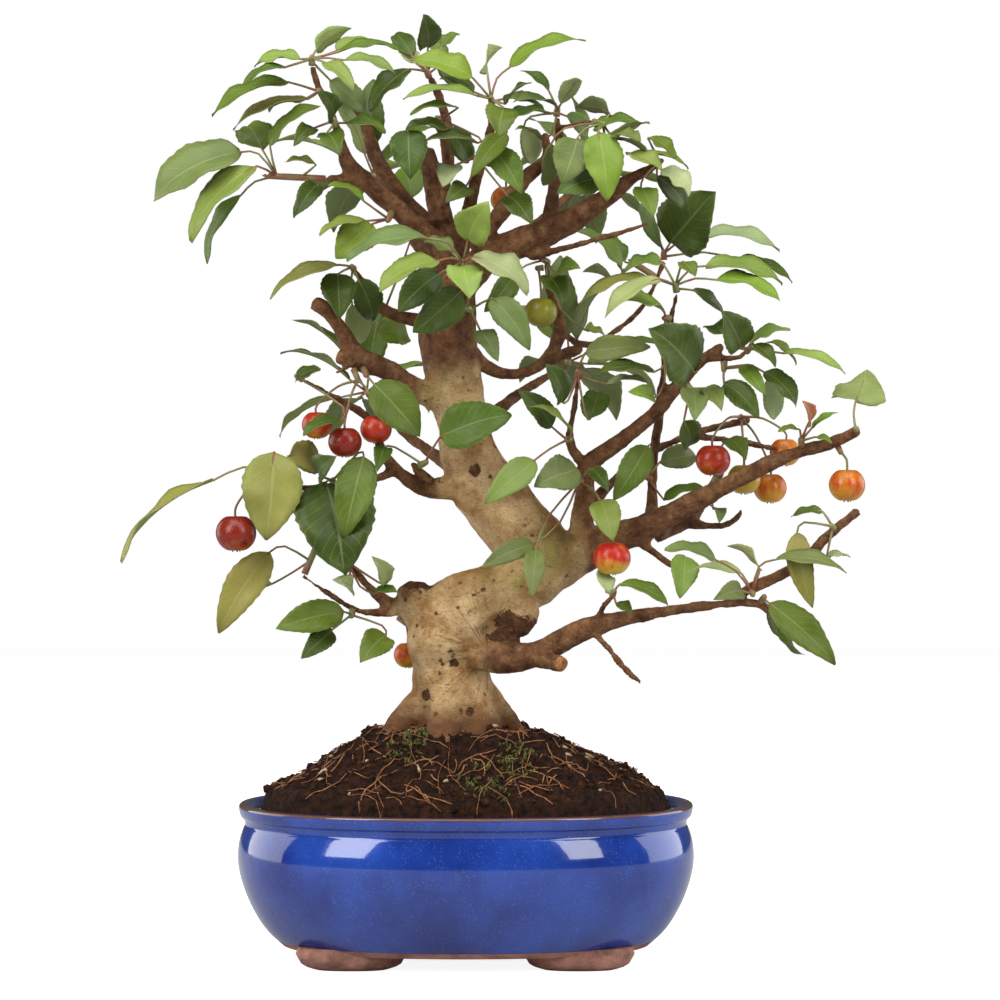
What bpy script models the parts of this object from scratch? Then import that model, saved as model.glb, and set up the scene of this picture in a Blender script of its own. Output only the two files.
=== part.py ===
"""A crabapple bonsai: a glazed pot, its soil mound, the trunk with its limbs, leafy shoots and fruit."""

import math
import random
from collections import namedtuple

import bmesh
import bpy
from mathutils import Quaternion, Vector
from mathutils.bvhtree import BVHTree

# Driving dimensions in millimetres, unless a name says otherwise.
MM = 0.001
POT_LENGTH = 209.6
POT_DEPTH = 156.0
POT_HEIGHT = 71.0
POT_AT_X = -15.6
POT_WALL = 6.5
POT_FLOOR = 7.0
POT_SIDES = 32
POT_ROUNDNESS = 2.3
FOOT_HEIGHT = 7.0
FOOT_LENGTH = 50.0
FOOT_WIDTH = 26.0
FOOT_AT = (51.0, 38.0)
FOOT_SIDES = 12
DRAIN_SIDES = 8
DRAIN_RADIUS = 6.0
DRAIN_AT_X = 38.0
SOIL_TOP = 107.0
SOIL_SIDES = 24
SOIL_LEAN = -6.0
SOIL_EDGE = 67.5
GAP = 0.35
LEAF_THICKNESS = 0.9
LEAF_FOLD = 0.22
PETIOLE_THICKNESS = 0.9
SHOOT_RADIUS = 1.5
STUB_LENGTH = 4.0
FRUIT_SIDES = 8
SEED = 11
WELD = 0.001
FUSING_TRIES = 6
HAIR = Vector((0.031, 0.017, 0.043))
SMOOTH_UP_TO = 40.0

# The tree is laid out on its front picture: u runs right and v down, one unit is 0.46 mm at the trunk's
# plane, and depth is in millimetres behind it. The viewer stands 1.45 m in front, 0.21 m above the table.
EYE_DISTANCE = 1450.0
EYE_HEIGHT = 210.0
UNIT = 0.46
PICTURE_MIDDLE = 500.0

# How a leaf's upper side faces, as a direction in the tree's own frame.
UP = Vector((0.0, -0.45, 1.0))
FRONT = Vector((0.1, -1.0, 0.3))
BACK = Vector((0.0, 0.8, 0.6))
LEFT = Vector((-0.8, -0.6, 0.5))
RIGHT = Vector((0.8, -0.6, 0.5))

Limb = namedtuple("Limb", "name points sides")
Blade = namedtuple("Blade", "u v tip_u tip_v width face tip_depth")
Shoot = namedtuple("Shoot", "name u v depth blades spare")
Fruit = namedtuple("Fruit", "u v depth radius")
Bunch = namedtuple("Bunch", "name u v depth fruits")


def seen(u, v, depth):
    """The point, in millimetres, that the front picture shows at u, v if it lies this deep."""
    grow = 1 + depth / EYE_DISTANCE
    across = (u - PICTURE_MIDDLE) * UNIT * grow
    return Vector((across, depth, EYE_HEIGHT - (v - PICTURE_MIDDLE) * UNIT * grow))


# Each limb's points are u, v, depth and radius in picture units, from its root to its end.
TRUNK = Limb("trunk", (
    (454, 775, 0, 54), (455, 735, 0, 52), (456, 712, 0, 46), (451, 688, 0, 40), (448, 662, 0, 38),
        (447, 638, -1, 44),
    (458, 615, -2, 41), (482, 601, -2, 32), (508, 592, -1, 29), (533, 574, 0, 36), (534, 549, 0, 37),
        (514, 527, 0, 34),
    (495, 502, 0, 33), (479, 478, 0, 32), (469, 452, 0, 29), (465, 425, 0, 26), (457, 395, 0, 28),
        (451, 365, 0, 27),
    (446, 335, 0, 29), (449, 305, 0, 27), (450, 278, 4, 20), (446, 245, 6, 14), (440, 212, 8, 12),
        (433, 175, 8, 11),
    (426, 150, 8, 9)), 10)

ROOTS = (
    Limb("left_root", ((440, 690, -2, 18), (408, 716, -8, 16), (388, 742, -14, 12), (370, 772, -20, 7)), 6),
    Limb("front_root", ((452, 700, -10, 20), (442, 738, -24, 17), (434, 778, -36, 9)), 6),
    Limb("right_root", ((475, 690, 2, 20), (505, 724, 4, 15), (530, 760, 6, 8)), 6),
    Limb("back_root", ((455, 700, 10, 20), (450, 738, 26, 15), (446, 778, 38, 8)), 6),
)

LIMBS = (
    Limb("left_burl", ((440, 632, -2, 24), (418, 606, -4, 20), (412, 586, -5, 15)), 7),
    Limb("right_burl", ((510, 600, -4, 22), (519, 617, -6, 22), (516, 636, -8, 15)), 7),
    Limb("burl_web", ((488, 608, -4, 16), (496, 630, -6, 17), (500, 650, -8, 12)), 6),
    Limb("right_collar", ((548, 560, 2, 34), (570, 556, 4, 27), (585, 550, 6, 18)), 7),
    Limb("low_right", (
        (468, 648, -8, 18), (505, 656, -14, 18), (540, 652, -18, 13), (575, 633, -22, 12),
        (610, 622, -25, 9),
        (660, 612, -30, 6), (715, 605, -34, 4.5), (755, 603, -36, 3.5), (773, 617, -38, 3.0)), 6),
    Limb("low_right_stub", ((525, 656, -16, 9), (548, 661, -26, 8), (562, 664, -34, 7.5)), 6),
    Limb("low_right_fork", (
        (725, 604, -35, 4), (750, 589, -38, 5), (785, 573, -40, 6), (810, 556, -42, 6.5),
        (822, 541, -43, 5.5),
        (858, 511, -46, 4.5)), 5),
    Limb("low_right_drop", ((590, 630, -24, 4), (606, 645, -28, 3.2), (624, 668, -32, 3),
        (641, 683, -34, 2.2)), 4),
    Limb("low_right_rise", ((596, 622, -24, 3.5), (604, 606, -30, 3), (613, 596, -34, 2.6)), 4),
    Limb("riser", (
        (576, 562, 4, 20), (582, 530, 4, 12), (585, 495, 2, 10.5), (588, 466, 0, 10), (618, 443, -4, 8),
        (650, 417, -8, 7.5),
        (672, 392, -12, 7), (700, 362, -16, 5.5), (722, 346, -20, 4.5)), 6),
    Limb("riser_twig", ((588, 470, 0, 6), (570, 443, -8, 5), (574, 410, -12, 3.5), (578, 380, -15, 3)), 5),
    Limb("riser_spire", ((660, 404, -9, 5), (663, 372, -14, 4), (670, 325, -20, 3.6),
        (677, 294, -24, 3.2)), 5),
    Limb("riser_end", ((706, 358, -16, 4), (735, 358, -24, 3), (746, 352, -28, 2.6)), 4),
    Limb("far_right", (
        (580, 556, 6, 20), (612, 538, 4, 17), (640, 530, 0, 15), (668, 515, -4, 12), (705, 496, -10, 10),
        (745, 476, -16, 8.5),
        (790, 455, -20, 7), (835, 442, -24, 6), (858, 430, -26, 5)), 7),
    Limb("far_right_post", ((652, 522, 4, 7), (652, 480, 10, 5.5), (655, 445, 14, 5), (660, 412, 6, 5)), 5),
    Limb("far_right_under", ((655, 532, 4, 12), (690, 518, 12, 8), (712, 486, 20, 6),
        (728, 460, 28, 4.5)), 5),
    Limb("far_right_twig", ((690, 524, 12, 5), (722, 526, 8, 3.6), (737, 517, 4, 3),
        (742, 509, 2, 2.4)), 4),
    Limb("far_right_drop", ((640, 540, 0, 6), (662, 559, -4, 4), (690, 574, -8, 3)), 4),
    Limb("right_middle", (
        (590, 505, 6, 7), (615, 480, 16, 4.5), (648, 454, 22, 4), (682, 438, 24, 4), (712, 428, 26, 4),
        (750, 420, 26, 4)), 5),
    Limb("right_middle_fork", ((694, 436, 24, 4), (735, 441, 16, 3.6), (776, 449, 6, 3)), 4),
    Limb("left_low", ((418, 612, 0, 9), (393, 606, 0, 8), (372, 590, -6, 5), (350, 566, -12, 3.6)), 5),
    Limb("left_low_twig", ((395, 612, -2, 5), (360, 611, -8, 3.2), (332, 596, -13, 3),
        (303, 576, -18, 2.2)), 4),
    Limb("left_middle", (
        (456, 486, -4, 14), (425, 489, -8, 9), (400, 474, -12, 6.5), (383, 452, -15, 5.5),
        (369, 420, -18, 4.5),
        (345, 403, -20, 3.4), (303, 380, -24, 2.6)), 5),
    Limb("left_middle_out", (
        (396, 472, -12, 5), (362, 482, -16, 4), (325, 487, -20, 3.6), (292, 487, -24, 3.4),
        (276, 472, -27, 3)), 5),
    Limb("left_snag", ((436, 488, -8, 7), (420, 473, -14, 5), (412, 463, -16, 3)), 4),
    Limb("left_upper", (
        (448, 402, -2, 16), (420, 392, -4, 12), (390, 371, -8, 9.5), (357, 358, -12, 12),
        (344, 334, -15, 8),
        (328, 312, -18, 7.5), (315, 303, -20, 7)), 6),
    Limb("left_knob", ((360, 360, -12, 9), (345, 358, -16, 9), (338, 357, -18, 7)), 5),
    Limb("left_spur", ((360, 366, -12, 4.5), (350, 366, -18, 3), (336, 373, -21, 2.6)), 4),
    Limb("crown_left", (
        (448, 290, 2, 16), (440, 250, -4, 13), (415, 224, -10, 10), (380, 195, -14, 10),
        (350, 167, -18, 8.5),
        (343, 150, -20, 6), (336, 128, -22, 4)), 6),
    Limb("crown_left_top", ((347, 160, -18, 5), (333, 118, -20, 3.5), (319, 88, -22, 4),
        (312, 67, -24, 3.6)), 4),
    Limb("crown_left_twin", ((430, 226, 0, 10), (400, 194, 2, 8.5), (378, 162, 6, 8), (366, 128, 10, 5),
        (350, 100, 12, 3.6)), 5),
    Limb("crown_left_arm", ((362, 184, -16, 6), (346, 179, -18, 4.8), (328, 179, -20, 4)), 4),
    Limb("crown_spire", ((443, 220, 2, 7), (446, 180, -6, 5), (444, 140, -12, 4.6),
        (434, 118, -16, 4.2)), 5),
    Limb("crown_top", ((441, 200, 8, 7), (450, 150, 10, 6), (442, 105, 8, 5), (430, 78, 4, 3.2)), 5),
    Limb("crown_middle", ((456, 270, 6, 12), (468, 215, 8, 8), (476, 180, 0, 6), (490, 135, -10, 4.6),
        (492, 106, -16, 3.6)), 5),
    Limb("crown_front", ((455, 320, -8, 10), (461, 290, -26, 7), (464, 266, -40, 4)), 5),
    Limb("crown_right", (
        (453, 300, 0, 18), (480, 262, -2, 15), (520, 243, -6, 15), (560, 226, -8, 13),
        (600, 202, -10, 10), (632, 178, -12, 6),
        (655, 166, -14, 4)), 7),
    Limb("crown_right_mast", ((548, 232, -6, 9), (553, 195, -2, 7), (560, 150, 2, 5),
        (557, 118, 4, 3.6)), 5),
    Limb("crown_right_knee", ((500, 215, -10, 9), (524, 180, -14, 8), (546, 160, -14, 6),
        (545, 134, -12, 4)), 5),
    Limb("crown_right_knee_root", ((476, 250, -4, 10), (488, 230, -8, 9), (504, 210, -11, 8)), 5),
    Limb("crown_right_wand", ((556, 128, 3, 3.4), (575, 124, -4, 3.2), (592, 122, -10, 3)), 4),
    Limb("crown_right_spray", ((530, 256, -6, 6), (562, 249, -14, 3.6), (605, 237, -22, 3.6),
        (648, 224, -28, 3)), 4),
    Limb("right_hook", (
        (462, 346, 6, 12), (482, 364, 10, 8), (510, 374, 12, 7), (538, 366, 12, 6.5), (556, 345, 12, 7),
        (560, 320, 12, 6),
        (550, 292, 10, 4), (547, 262, 6, 4)), 5),
    Limb("right_hook_stub", ((545, 362, 12, 6), (565, 354, 4, 6), (580, 348, -4, 5.5)), 5),
    Limb("right_hook_rod", ((558, 330, 12, 4), (590, 345, 22, 3.6), (640, 310, 30, 3.4),
        (664, 262, 34, 3)), 4),
    Limb("left_back", ((446, 324, 4, 10), (405, 318, 14, 7), (378, 306, 12, 6), (366, 285, 4, 4),
        (352, 268, -4, 3)), 5),
    Limb("back_left", ((450, 300, 8, 12), (430, 262, 26, 9), (402, 218, 40, 6), (376, 180, 50, 4)), 5),
    Limb("back_right", ((454, 300, 8, 12), (492, 262, 28, 9), (540, 222, 42, 6), (578, 186, 54, 4)), 5),
    Limb("back_middle", ((470, 440, 6, 12), (492, 415, 28, 7.5), (528, 388, 46, 5),
        (566, 366, 60, 3.6)), 5),
    Limb("back_low_left", ((462, 470, 8, 12), (430, 452, 30, 6.5), (396, 426, 46, 4.6),
        (370, 396, 58, 3.4)), 5),
)

SHOOTS = (
    Shoot("top_left", 312, 63, -25, (
        Blade(316, 50, 349, 24, 20, BACK, -20), Blade(301, 59, 254, 65, 24, UP, -30),
        Blade(285, 66, 241, 80, 16, UP, -42),
        Blade(324, 62, 354, 89, 16, UP, -48), Blade(336, 51, 368, 38, 13, UP, -8),
        Blade(338, 52, 400, 48, 18, UP, -18),
        Blade(343, 60, 396, 73, 18, UP, -38), Blade(330, 80, 366, 110, 24, FRONT, -12)), 0),
    Shoot("top_left_low", 319, 91, -24, (
        Blade(288, 82, 211, 114, 26, UP, -30), Blade(308, 99, 232, 127, 15, UP, -22),
        Blade(300, 102, 268, 110, 16, UP, -4)), 0),
    Shoot("left_bud", 335, 124, -24, (
        Blade(332, 119, 324, 96, 22, FRONT, -34), Blade(346, 123, 386, 131, 21, UP, -30),
        Blade(326, 134, 341, 156, 24, FRONT, -36),
        Blade(314, 128, 297, 149, 15, FRONT, -28)), 0),
    Shoot("left_outer", 269, 176, -25, (
        Blade(241, 152, 152, 198, 54, Vector((-0.3, -0.8, 0.7)), -30),
        Blade(262, 149, 244, 122, 34, FRONT, -12),
        Blade(270, 146, 319, 104, 24, UP, -30), Blade(257, 166, 189, 240, 30, UP, -42),
        Blade(242, 194, 205, 263, 18, LEFT, -14),
        Blade(318, 184, 298, 217, 20, FRONT, -32), Blade(316, 165, 285, 161, 12, UP, -26)), 0),
    Shoot("left_pale_bud", 388, 220, -22, (
        Blade(365, 202, 329, 184, 17, UP, -34), Blade(365, 221, 319, 233, 16, UP, -40),
        Blade(372, 224, 337, 257, 36, FRONT, -30)), 0),
    Shoot("crown_tip", 428, 74, 2, (
        Blade(428, 47, 425, 20, 26, FRONT, -4), Blade(412, 56, 393, 29, 20, FRONT, 10),
        Blade(442, 47, 459, 33, 13, UP, 10),
        Blade(415, 62, 398, 44, 14, UP, 12), Blade(410, 69, 369, 110, 24, UP, -14),
        Blade(445, 60, 420, 40, 16, UP, 18), Blade(436, 60, 452, 84, 20, FRONT, 8)), 0),
    Shoot("crown_bud", 491, 98, -20, (
        Blade(473, 78, 412, 59, 34, Vector((0.2, -0.7, 0.7)), -22), Blade(487, 70, 500, 43, 24, BACK, -10),
        Blade(509, 68, 585, 38, 24, UP, -12), Blade(478, 96, 403, 97, 16, UP, -36),
        Blade(504, 108, 498, 138, 30, FRONT, -40),
        Blade(505, 104, 531, 82, 17, UP, -36), Blade(474, 92, 440, 78, 18, UP, -12),
        Blade(508, 98, 547, 112, 20, UP, -8)), 0),
    Shoot("crown_spur", 440, 119, -20, (
        Blade(449, 131, 406, 127, 22, UP, -32), Blade(458, 108, 410, 113, 13, UP, -36),
        Blade(478, 143, 421, 142, 15, UP, -32),
        Blade(408, 130, 410, 178, 34, FRONT, -38), Blade(450, 128, 470, 162, 24, FRONT, 2)), 0),
    Shoot("crown_inner", 482, 158, -6, (
        Blade(506, 134, 471, 176, 20, FRONT, -36), Blade(494, 150, 521, 192, 28, FRONT, -34),
        Blade(466, 186, 447, 204, 20, FRONT, -26),
        Blade(455, 165, 443, 186, 18, UP, -30), Blade(508, 196, 531, 224, 26, FRONT, -26)), 0),
    Shoot("crown_right_bud", 557, 113, 2, (
        Blade(556, 106, 513, 102, 18, UP, -18), Blade(561, 104, 580, 83, 16, BACK, -6),
        Blade(549, 91, 521, 70, 13, UP, 6),
        Blade(550, 114, 505, 119, 18, UP, -34), Blade(541, 138, 517, 127, 12, UP, -20),
        Blade(524, 126, 533, 162, 22, FRONT, 12), Blade(566, 116, 590, 134, 20, FRONT, 10)), 0),
    Shoot("wand_tip", 604, 124, -16, (
        Blade(598, 133, 608, 200, 36, FRONT, -34), Blade(577, 139, 562, 184, 36, FRONT, -30),
        Blade(598, 178, 559, 192, 28, FRONT, -26), Blade(610, 114, 578, 103, 22, BACK, -10),
        Blade(594, 130, 638, 120, 22, UP, -18), Blade(612, 136, 641, 140, 20, UP, -30),
        Blade(549, 148, 550, 180, 20, FRONT, -14)), 0),
    Shoot("right_shoulder", 656, 164, -16, (
        Blade(650, 154, 689, 168, 13, UP, -6), Blade(628, 154, 662, 170, 22, UP, -34),
        Blade(662, 170, 690, 195, 24, UP, -24), Blade(657, 176, 688, 206, 24, FRONT, -14),
        Blade(641, 188, 652, 218, 22, FRONT, -30), Blade(648, 138, 676, 158, 18, UP, -24),
        Blade(650, 158, 620, 138, 24, UP, -26)), 0),
    Shoot("rod_tip", 664, 258, 34, (
        Blade(670, 243, 711, 196, 58, FRONT, 26), Blade(703, 236, 780, 249, 26, UP, 26),
        Blade(645, 198, 663, 250, 12, LEFT, 30),
        Blade(738, 259, 793, 281, 18, UP, 34)), 0),
    Shoot("spire_tip", 676, 288, -25, (
        Blade(706, 266, 783, 282, 30, UP, -30), Blade(714, 279, 780, 297, 24, UP, -46),
        Blade(662, 262, 621, 271, 24, UP, -16),
        Blade(645, 276, 575, 307, 18, UP, -20), Blade(660, 279, 604, 316, 20, UP, -44),
        Blade(692, 290, 727, 316, 11, RIGHT, -22),
        Blade(682, 262, 695, 276, 14, UP, -40)), 0),
    Shoot("spire_low", 670, 318, -22, (
        Blade(664, 311, 619, 300, 28, UP, -34), Blade(654, 372, 594, 374, 20, UP, -34),
        Blade(694, 372, 650, 330, 56, FRONT, -40),
        Blade(654, 398, 629, 392, 17, FRONT, -34)), 0),
    Shoot("hook_rosette", 632, 262, 26, (
        Blade(622, 270, 579, 229, 24, UP, 20), Blade(625, 262, 592, 234, 20, UP, 36),
        Blade(612, 280, 585, 268, 16, BACK, 30)), 0),
    Shoot("right_bud", 748, 350, -30, (
        Blade(750, 344, 790, 329, 20, UP, -38), Blade(741, 349, 722, 313, 34, FRONT, -42),
        Blade(770, 342, 797, 364, 15, UP, -22),
        Blade(753, 344, 776, 366, 14, UP, -44), Blade(782, 353, 846, 372, 16, UP, -34),
        Blade(725, 332, 712, 318, 24, FRONT, -22)), 0),
    Shoot("right_low_bud", 724, 366, -20, (
        Blade(724, 383, 758, 418, 24, FRONT, -28), Blade(764, 372, 797, 406, 22, UP, -30),
        Blade(768, 378, 778, 420, 20, FRONT, -18),
        Blade(742, 366, 764, 395, 14, FRONT, -38)), 0),
    Shoot("right_inner", 690, 388, -16, (
        Blade(693, 389, 694, 419, 26, FRONT, -26), Blade(706, 388, 718, 410, 20, FRONT, -20),
        Blade(684, 420, 692, 447, 26, FRONT, -12)), 0),
    Shoot("twig_tip", 578, 377, -16, (
        Blade(585, 353, 650, 346, 24, FRONT, -26), Blade(562, 404, 538, 373, 26, FRONT, -22),
        Blade(588, 420, 592, 387, 26, FRONT, -16),
        Blade(606, 384, 648, 381, 12, UP, -26)), 0),
    Shoot("twig_side", 567, 440, -14, (
        Blade(552, 427, 519, 391, 22, FRONT, -22), Blade(535, 460, 485, 503, 27, FRONT, -34),
        Blade(572, 432, 531, 405, 16, UP, -34)), 0),
    Shoot("riser_spur", 578, 482, -8, (
        Blade(578, 470, 535, 485, 34, FRONT, -26), Blade(590, 469, 607, 491, 16, FRONT, -22),
        Blade(600, 500, 612, 540, 28, FRONT, -32),
        Blade(534, 544, 482, 567, 20, FRONT, -34), Blade(536, 549, 532, 596, 20, FRONT, -42)), 0),
    Shoot("trunk_bud", 426, 462, -20, (
        Blade(440, 437, 511, 414, 42, FRONT, -30), Blade(384, 447, 379, 470, 17, FRONT, -28)), 0),
    Shoot("post_shoot", 648, 478, 6, (
        Blade(648, 446, 614, 500, 28, FRONT, -10), Blade(660, 462, 699, 455, 24, FRONT, 12),
        Blade(664, 500, 706, 488, 17, UP, 4)), 0),
    Shoot("under_shoot", 716, 478, 14, (
        Blade(690, 508, 665, 527, 16, FRONT, 6), Blade(728, 441, 742, 461, 22, FRONT, 10)), 0),
    Shoot("young_shoot", 802, 444, -24, (
        Blade(812, 428, 838, 412, 9, UP, -28), Blade(800, 430, 778, 431, 9, UP, -34),
        Blade(808, 424, 800, 403, 9, FRONT, -30),
        Blade(815, 437, 832, 443, 8, UP, -34)), 0),
    Shoot("limb_end", 856, 429, -29, (
        Blade(856, 400, 866, 372, 52, Vector((0.0, 0.45, -0.9)), 0),), 0),
    Shoot("fork_bud", 752, 592, -42, (
        Blade(716, 560, 665, 548, 22, UP, -48), Blade(742, 574, 692, 569, 13, UP, -30),
        Blade(760, 572, 731, 551, 20, BACK, -34),
        Blade(773, 560, 847, 571, 20, UP, -54), Blade(742, 591, 713, 597, 19, FRONT, -52)), 0),
    Shoot("low_right_end", 762, 600, -38, (
        Blade(769, 603, 836, 664, 30, FRONT, -48), Blade(766, 608, 784, 637, 18, FRONT, -30),
        Blade(780, 622, 806, 660, 14, LEFT, -36)), 0),
    Shoot("fork_end", 834, 528, -46, (
        Blade(823, 512, 791, 516, 12, UP, -42), Blade(793, 522, 794, 600, 15, FRONT, -44),
        Blade(826, 556, 849, 554, 12, UP, -40)), 0),
    Shoot("drop_end", 692, 572, -11, (
        Blade(684, 556, 679, 596, 26, FRONT, -18),), 0),
    Shoot("low_rise_tip", 613, 594, -36, (
        Blade(620, 584, 669, 605, 18, UP, -44), Blade(606, 592, 601, 572, 17, BACK, -30),
        Blade(616, 603, 632, 614, 12, UP, -42)), 0),
    Shoot("left_far", 273, 470, -29, (
        Blade(214, 480, 118, 559, 14, Vector((-0.5, -0.2, 0.9)), -34),
        Blade(274, 452, 266, 540, 54, FRONT, -38),
        Blade(288, 456, 320, 462, 32, FRONT, -26)), 0),
    Shoot("left_heart", 333, 480, -24, (
        Blade(326, 482, 346, 573, 72, FRONT, -30), Blade(364, 456, 349, 539, 36, FRONT, -42),
        Blade(320, 476, 336, 458, 26, FRONT, -30)), 0),
    Shoot("left_fruit_spur", 366, 375, -22, (
        Blade(374, 384, 420, 436, 40, FRONT, -28),), 0),
    Shoot("left_twig_tip", 300, 378, -26, (
        Blade(320, 369, 295, 381, 16, UP, -34), Blade(341, 421, 303, 433, 17, UP, -50)), 0),
    Shoot("left_low_out", 317, 545, -16, (
        Blade(270, 552, 218, 633, 34, FRONT, -24), Blade(272, 584, 246, 597, 15, UP, -14)), 0),
    Shoot("left_low_tip", 349, 563, -14, (
        Blade(386, 583, 376, 557, 18, FRONT, -20), Blade(352, 590, 337, 578, 18, FRONT, -30),
        Blade(374, 592, 398, 589, 13, UP, -26)), 0),
    Shoot("left_low_twig", 352, 613, -12, (
        Blade(344, 612, 276, 628, 30, FRONT, -26), Blade(332, 630, 304, 656, 22, FRONT, -16),
        Blade(386, 635, 362, 660, 28, FRONT, -26)), 0),
    Shoot("front_rosette", 463, 262, -45, (
        Blade(431, 239, 346, 258, 32, UP, -56), Blade(438, 261, 379, 289, 28, UP, -74),
        Blade(468, 240, 488, 206, 36, FRONT, -54),
        Blade(473, 257, 529, 291, 32, UP, -66), Blade(463, 266, 470, 298, 32, FRONT, -70),
        Blade(440, 273, 398, 311, 30, FRONT, -50),
        Blade(452, 252, 424, 240, 20, UP, -36)), 0),
    Shoot("front_low", 466, 308, -20, (
        Blade(448, 285, 412, 332, 36, FRONT, -40), Blade(492, 298, 530, 349, 28, FRONT, -36),
        Blade(480, 330, 498, 361, 20, FRONT, -30)), 0),
    Shoot("left_back_tip", 352, 267, -8, (
        Blade(340, 265, 269, 296, 19, UP, -28), Blade(338, 274, 341, 318, 32, FRONT, -16),
        Blade(358, 279, 372, 320, 28, FRONT, -6),
        Blade(352, 304, 360, 344, 25, FRONT, 10)), 0),
    Shoot("left_back_low", 384, 312, 16, (
        Blade(376, 332, 410, 336, 28, FRONT, 20), Blade(412, 198, 402, 166, 30, FRONT, 28)), 0),
    Shoot("hook_shoot", 548, 262, -2, (
        Blade(556, 274, 578, 270, 22, FRONT, -14), Blade(548, 276, 562, 300, 24, FRONT, -8),
        Blade(525, 240, 505, 226, 24, FRONT, -28),
        Blade(585, 330, 606, 336, 18, UP, 6)), 0),
)

# Shoots that the front hides, which the rule for spare leaves fills.
HIDDEN_SHOOTS = (
    Shoot("back_left_end", 374, 176, 53, (), 8),
    Shoot("back_right_end", 581, 182, 58, (), 8),
    Shoot("back_middle_end", 569, 362, 63, (), 8),
    Shoot("back_low_end", 367, 392, 61, (), 8),
)

BUNCHES = (
    Bunch("fruit_left_three", 359, 382, -20, (
        Fruit(317, 425, -26, 15.5), Fruit(345, 442, -34, 17), Fruit(376, 429, -28, 16))),
    Bunch("fruit_far_left", 262, 478, -34, (Fruit(236, 533, -34, 20.5),)),
    Bunch("fruit_behind_trunk", 398, 618, 12, (Fruit(408, 655, 22, 15),)),
    Bunch("fruit_red_middle", 592, 490, -10, (Fruit(612, 558, -24, 19),)),
    Bunch("fruit_right_cluster", 741, 417, 22, (
        Fruit(713, 460, -4, 18), Fruit(744, 479, 14, 17.5), Fruit(785, 452, 12, 16),
        Fruit(770, 488, 42, 17.5))),
    Bunch("fruit_far_right", 838, 447, -25, (Fruit(847, 485, -25, 18.5),)),
    Bunch("fruit_crown", 540, 268, 8, (Fruit(541, 312, 4, 17),)),
    Bunch("fruit_inner", 506, 168, -2, (Fruit(506, 200, 8, 16),)),
)

# Leaf colours of the shoots that differ from the middle green.
MIDDLE_TONE = (0.11, 0.2, 0.06)
DARK = (0.045, 0.09, 0.035)
PALE = (0.25, 0.38, 0.17)
YELLOW = (0.42, 0.42, 0.12)
TONES = {"left_heart": DARK, "left_outer": DARK, "rod_tip": DARK, "right_low_bud": DARK, "crown_spur": DARK,
         "left_low_out": YELLOW, "left_far": YELLOW, "spire_tip": PALE, "limb_end": PALE, "twig_side": PALE,
         "front_rosette": PALE, "right_bud": PALE, "young_shoot": PALE}

Shell = namedtuple("Shell", "points faces")

# How wide a leaf is along its blade, against its full width: at more places on a longer leaf.
STATIONS = ((0.2, 0.74), (0.48, 1.0), (0.76, 0.64))
SMALL_STATIONS = ((0.3, 0.95), (0.68, 0.78))
TINY_STATIONS = ((0.42, 1.0),)
SMALL_LEAF = 34.0
TINY_LEAF = 20.0
SHORTEST_LEAF = 24.0
LEAF_STEEPNESS = 1.25
LEAF_ARCH = 0.1
RIPPLE = 0.05
# How much wider a leaf is than it looks from its side and from its face, and its least width for its length.
SEEN_FLAT = 1.4
SEEN_FULL = 1.1
NARROWEST = 0.34
# A stalk longer than this is bent. It leaves the blade along the midrib, for this share of its length.
LONG_PETIOLE = 15.0
STALK_BEND = 0.45
BLADE_PULL = 1.4
# How far a leaf or a stem is moved at each try, in degrees and millimetres.
TRIES = 90
SWING = 0.8
STRAY = 0.15
# A spare leaf's ranges: how far it leans along the shoot, its stalk, length, droop and width for its length.
GOLDEN_ANGLE = 2.399963
SPARE_OUTWARD = (0.2, 0.9)
SPARE_LEAN = Vector((0, 0.1, 0.15))
SPARE_STALK = (9.0, 14.0)
SPARE_LENGTH = (30.0, 42.0)
SPARE_DROOP = (0.1, 0.5)
SPARE_WIDTH = (0.42, 0.52)
SPARE_TILT = 0.6
SPARE_ROLL = 0.3
# Shares of a limb's radius: the depth of the lobes of old wood and of thin limbs, and how far a tip bulges.
OLD_LOBES = 0.06
THIN_LOBES = 0.03
THIN_SIDES = 6
LOBE_TURN = 0.9
SECOND_LOBE = 0.7
SECOND_TURN = 1.3
BLUNT_TIP = 0.45
# A stem's sides and taper, where its leaves spring from, and how near a tip may be to the wood.
STEM_SIDES = 5
STEM_TAPER = 0.8
STEM_SPAN = (0.45, 0.86)
ON_WOOD = 1.0
WOOD_GAP_SHARE = 0.2
# A crabapple's section from its dimple to its eye, as shares of its radius, and its stalk's bends and radii.
FRUIT_PROFILE = ((0.0, 0.8), (0.42, 0.9), (0.94, 0.38), (0.94, -0.32), (0.45, -0.84), (0.0, -0.84))
STALK_END = 0.5
STALK_ABOVE = 1.25
STALK_RISE = 0.12
STALK_RADII = (0.8, 0.75, 0.7, 0.65)
STALK_SIDES = 4
# The mound's rings, as shares of its reach and heights, from where the soil leaves the pot to its top.
POT_LIP = 8.5
SOIL_GAP = 0.5
SOIL_INSET = 9.5
SOIL_ROUGHNESS = 1.6
MOUND = ((0.995, SOIL_EDGE), (0.95, 77.5), (0.77, 86.0), (0.58, 94.5), (0.43, 103.0), (0.24, SOIL_TOP))
# The feet's rings: height, then shares of their length and width.
FOOT_PROFILE = ((0.0, 0.68, 0.64), (2.6, 0.9, 0.9), (FOOT_HEIGHT, 1.0, 1.0), (FOOT_HEIGHT + 3.0, 0.96, 0.9))
DRAIN_OVERLAP = 4.0


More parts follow.
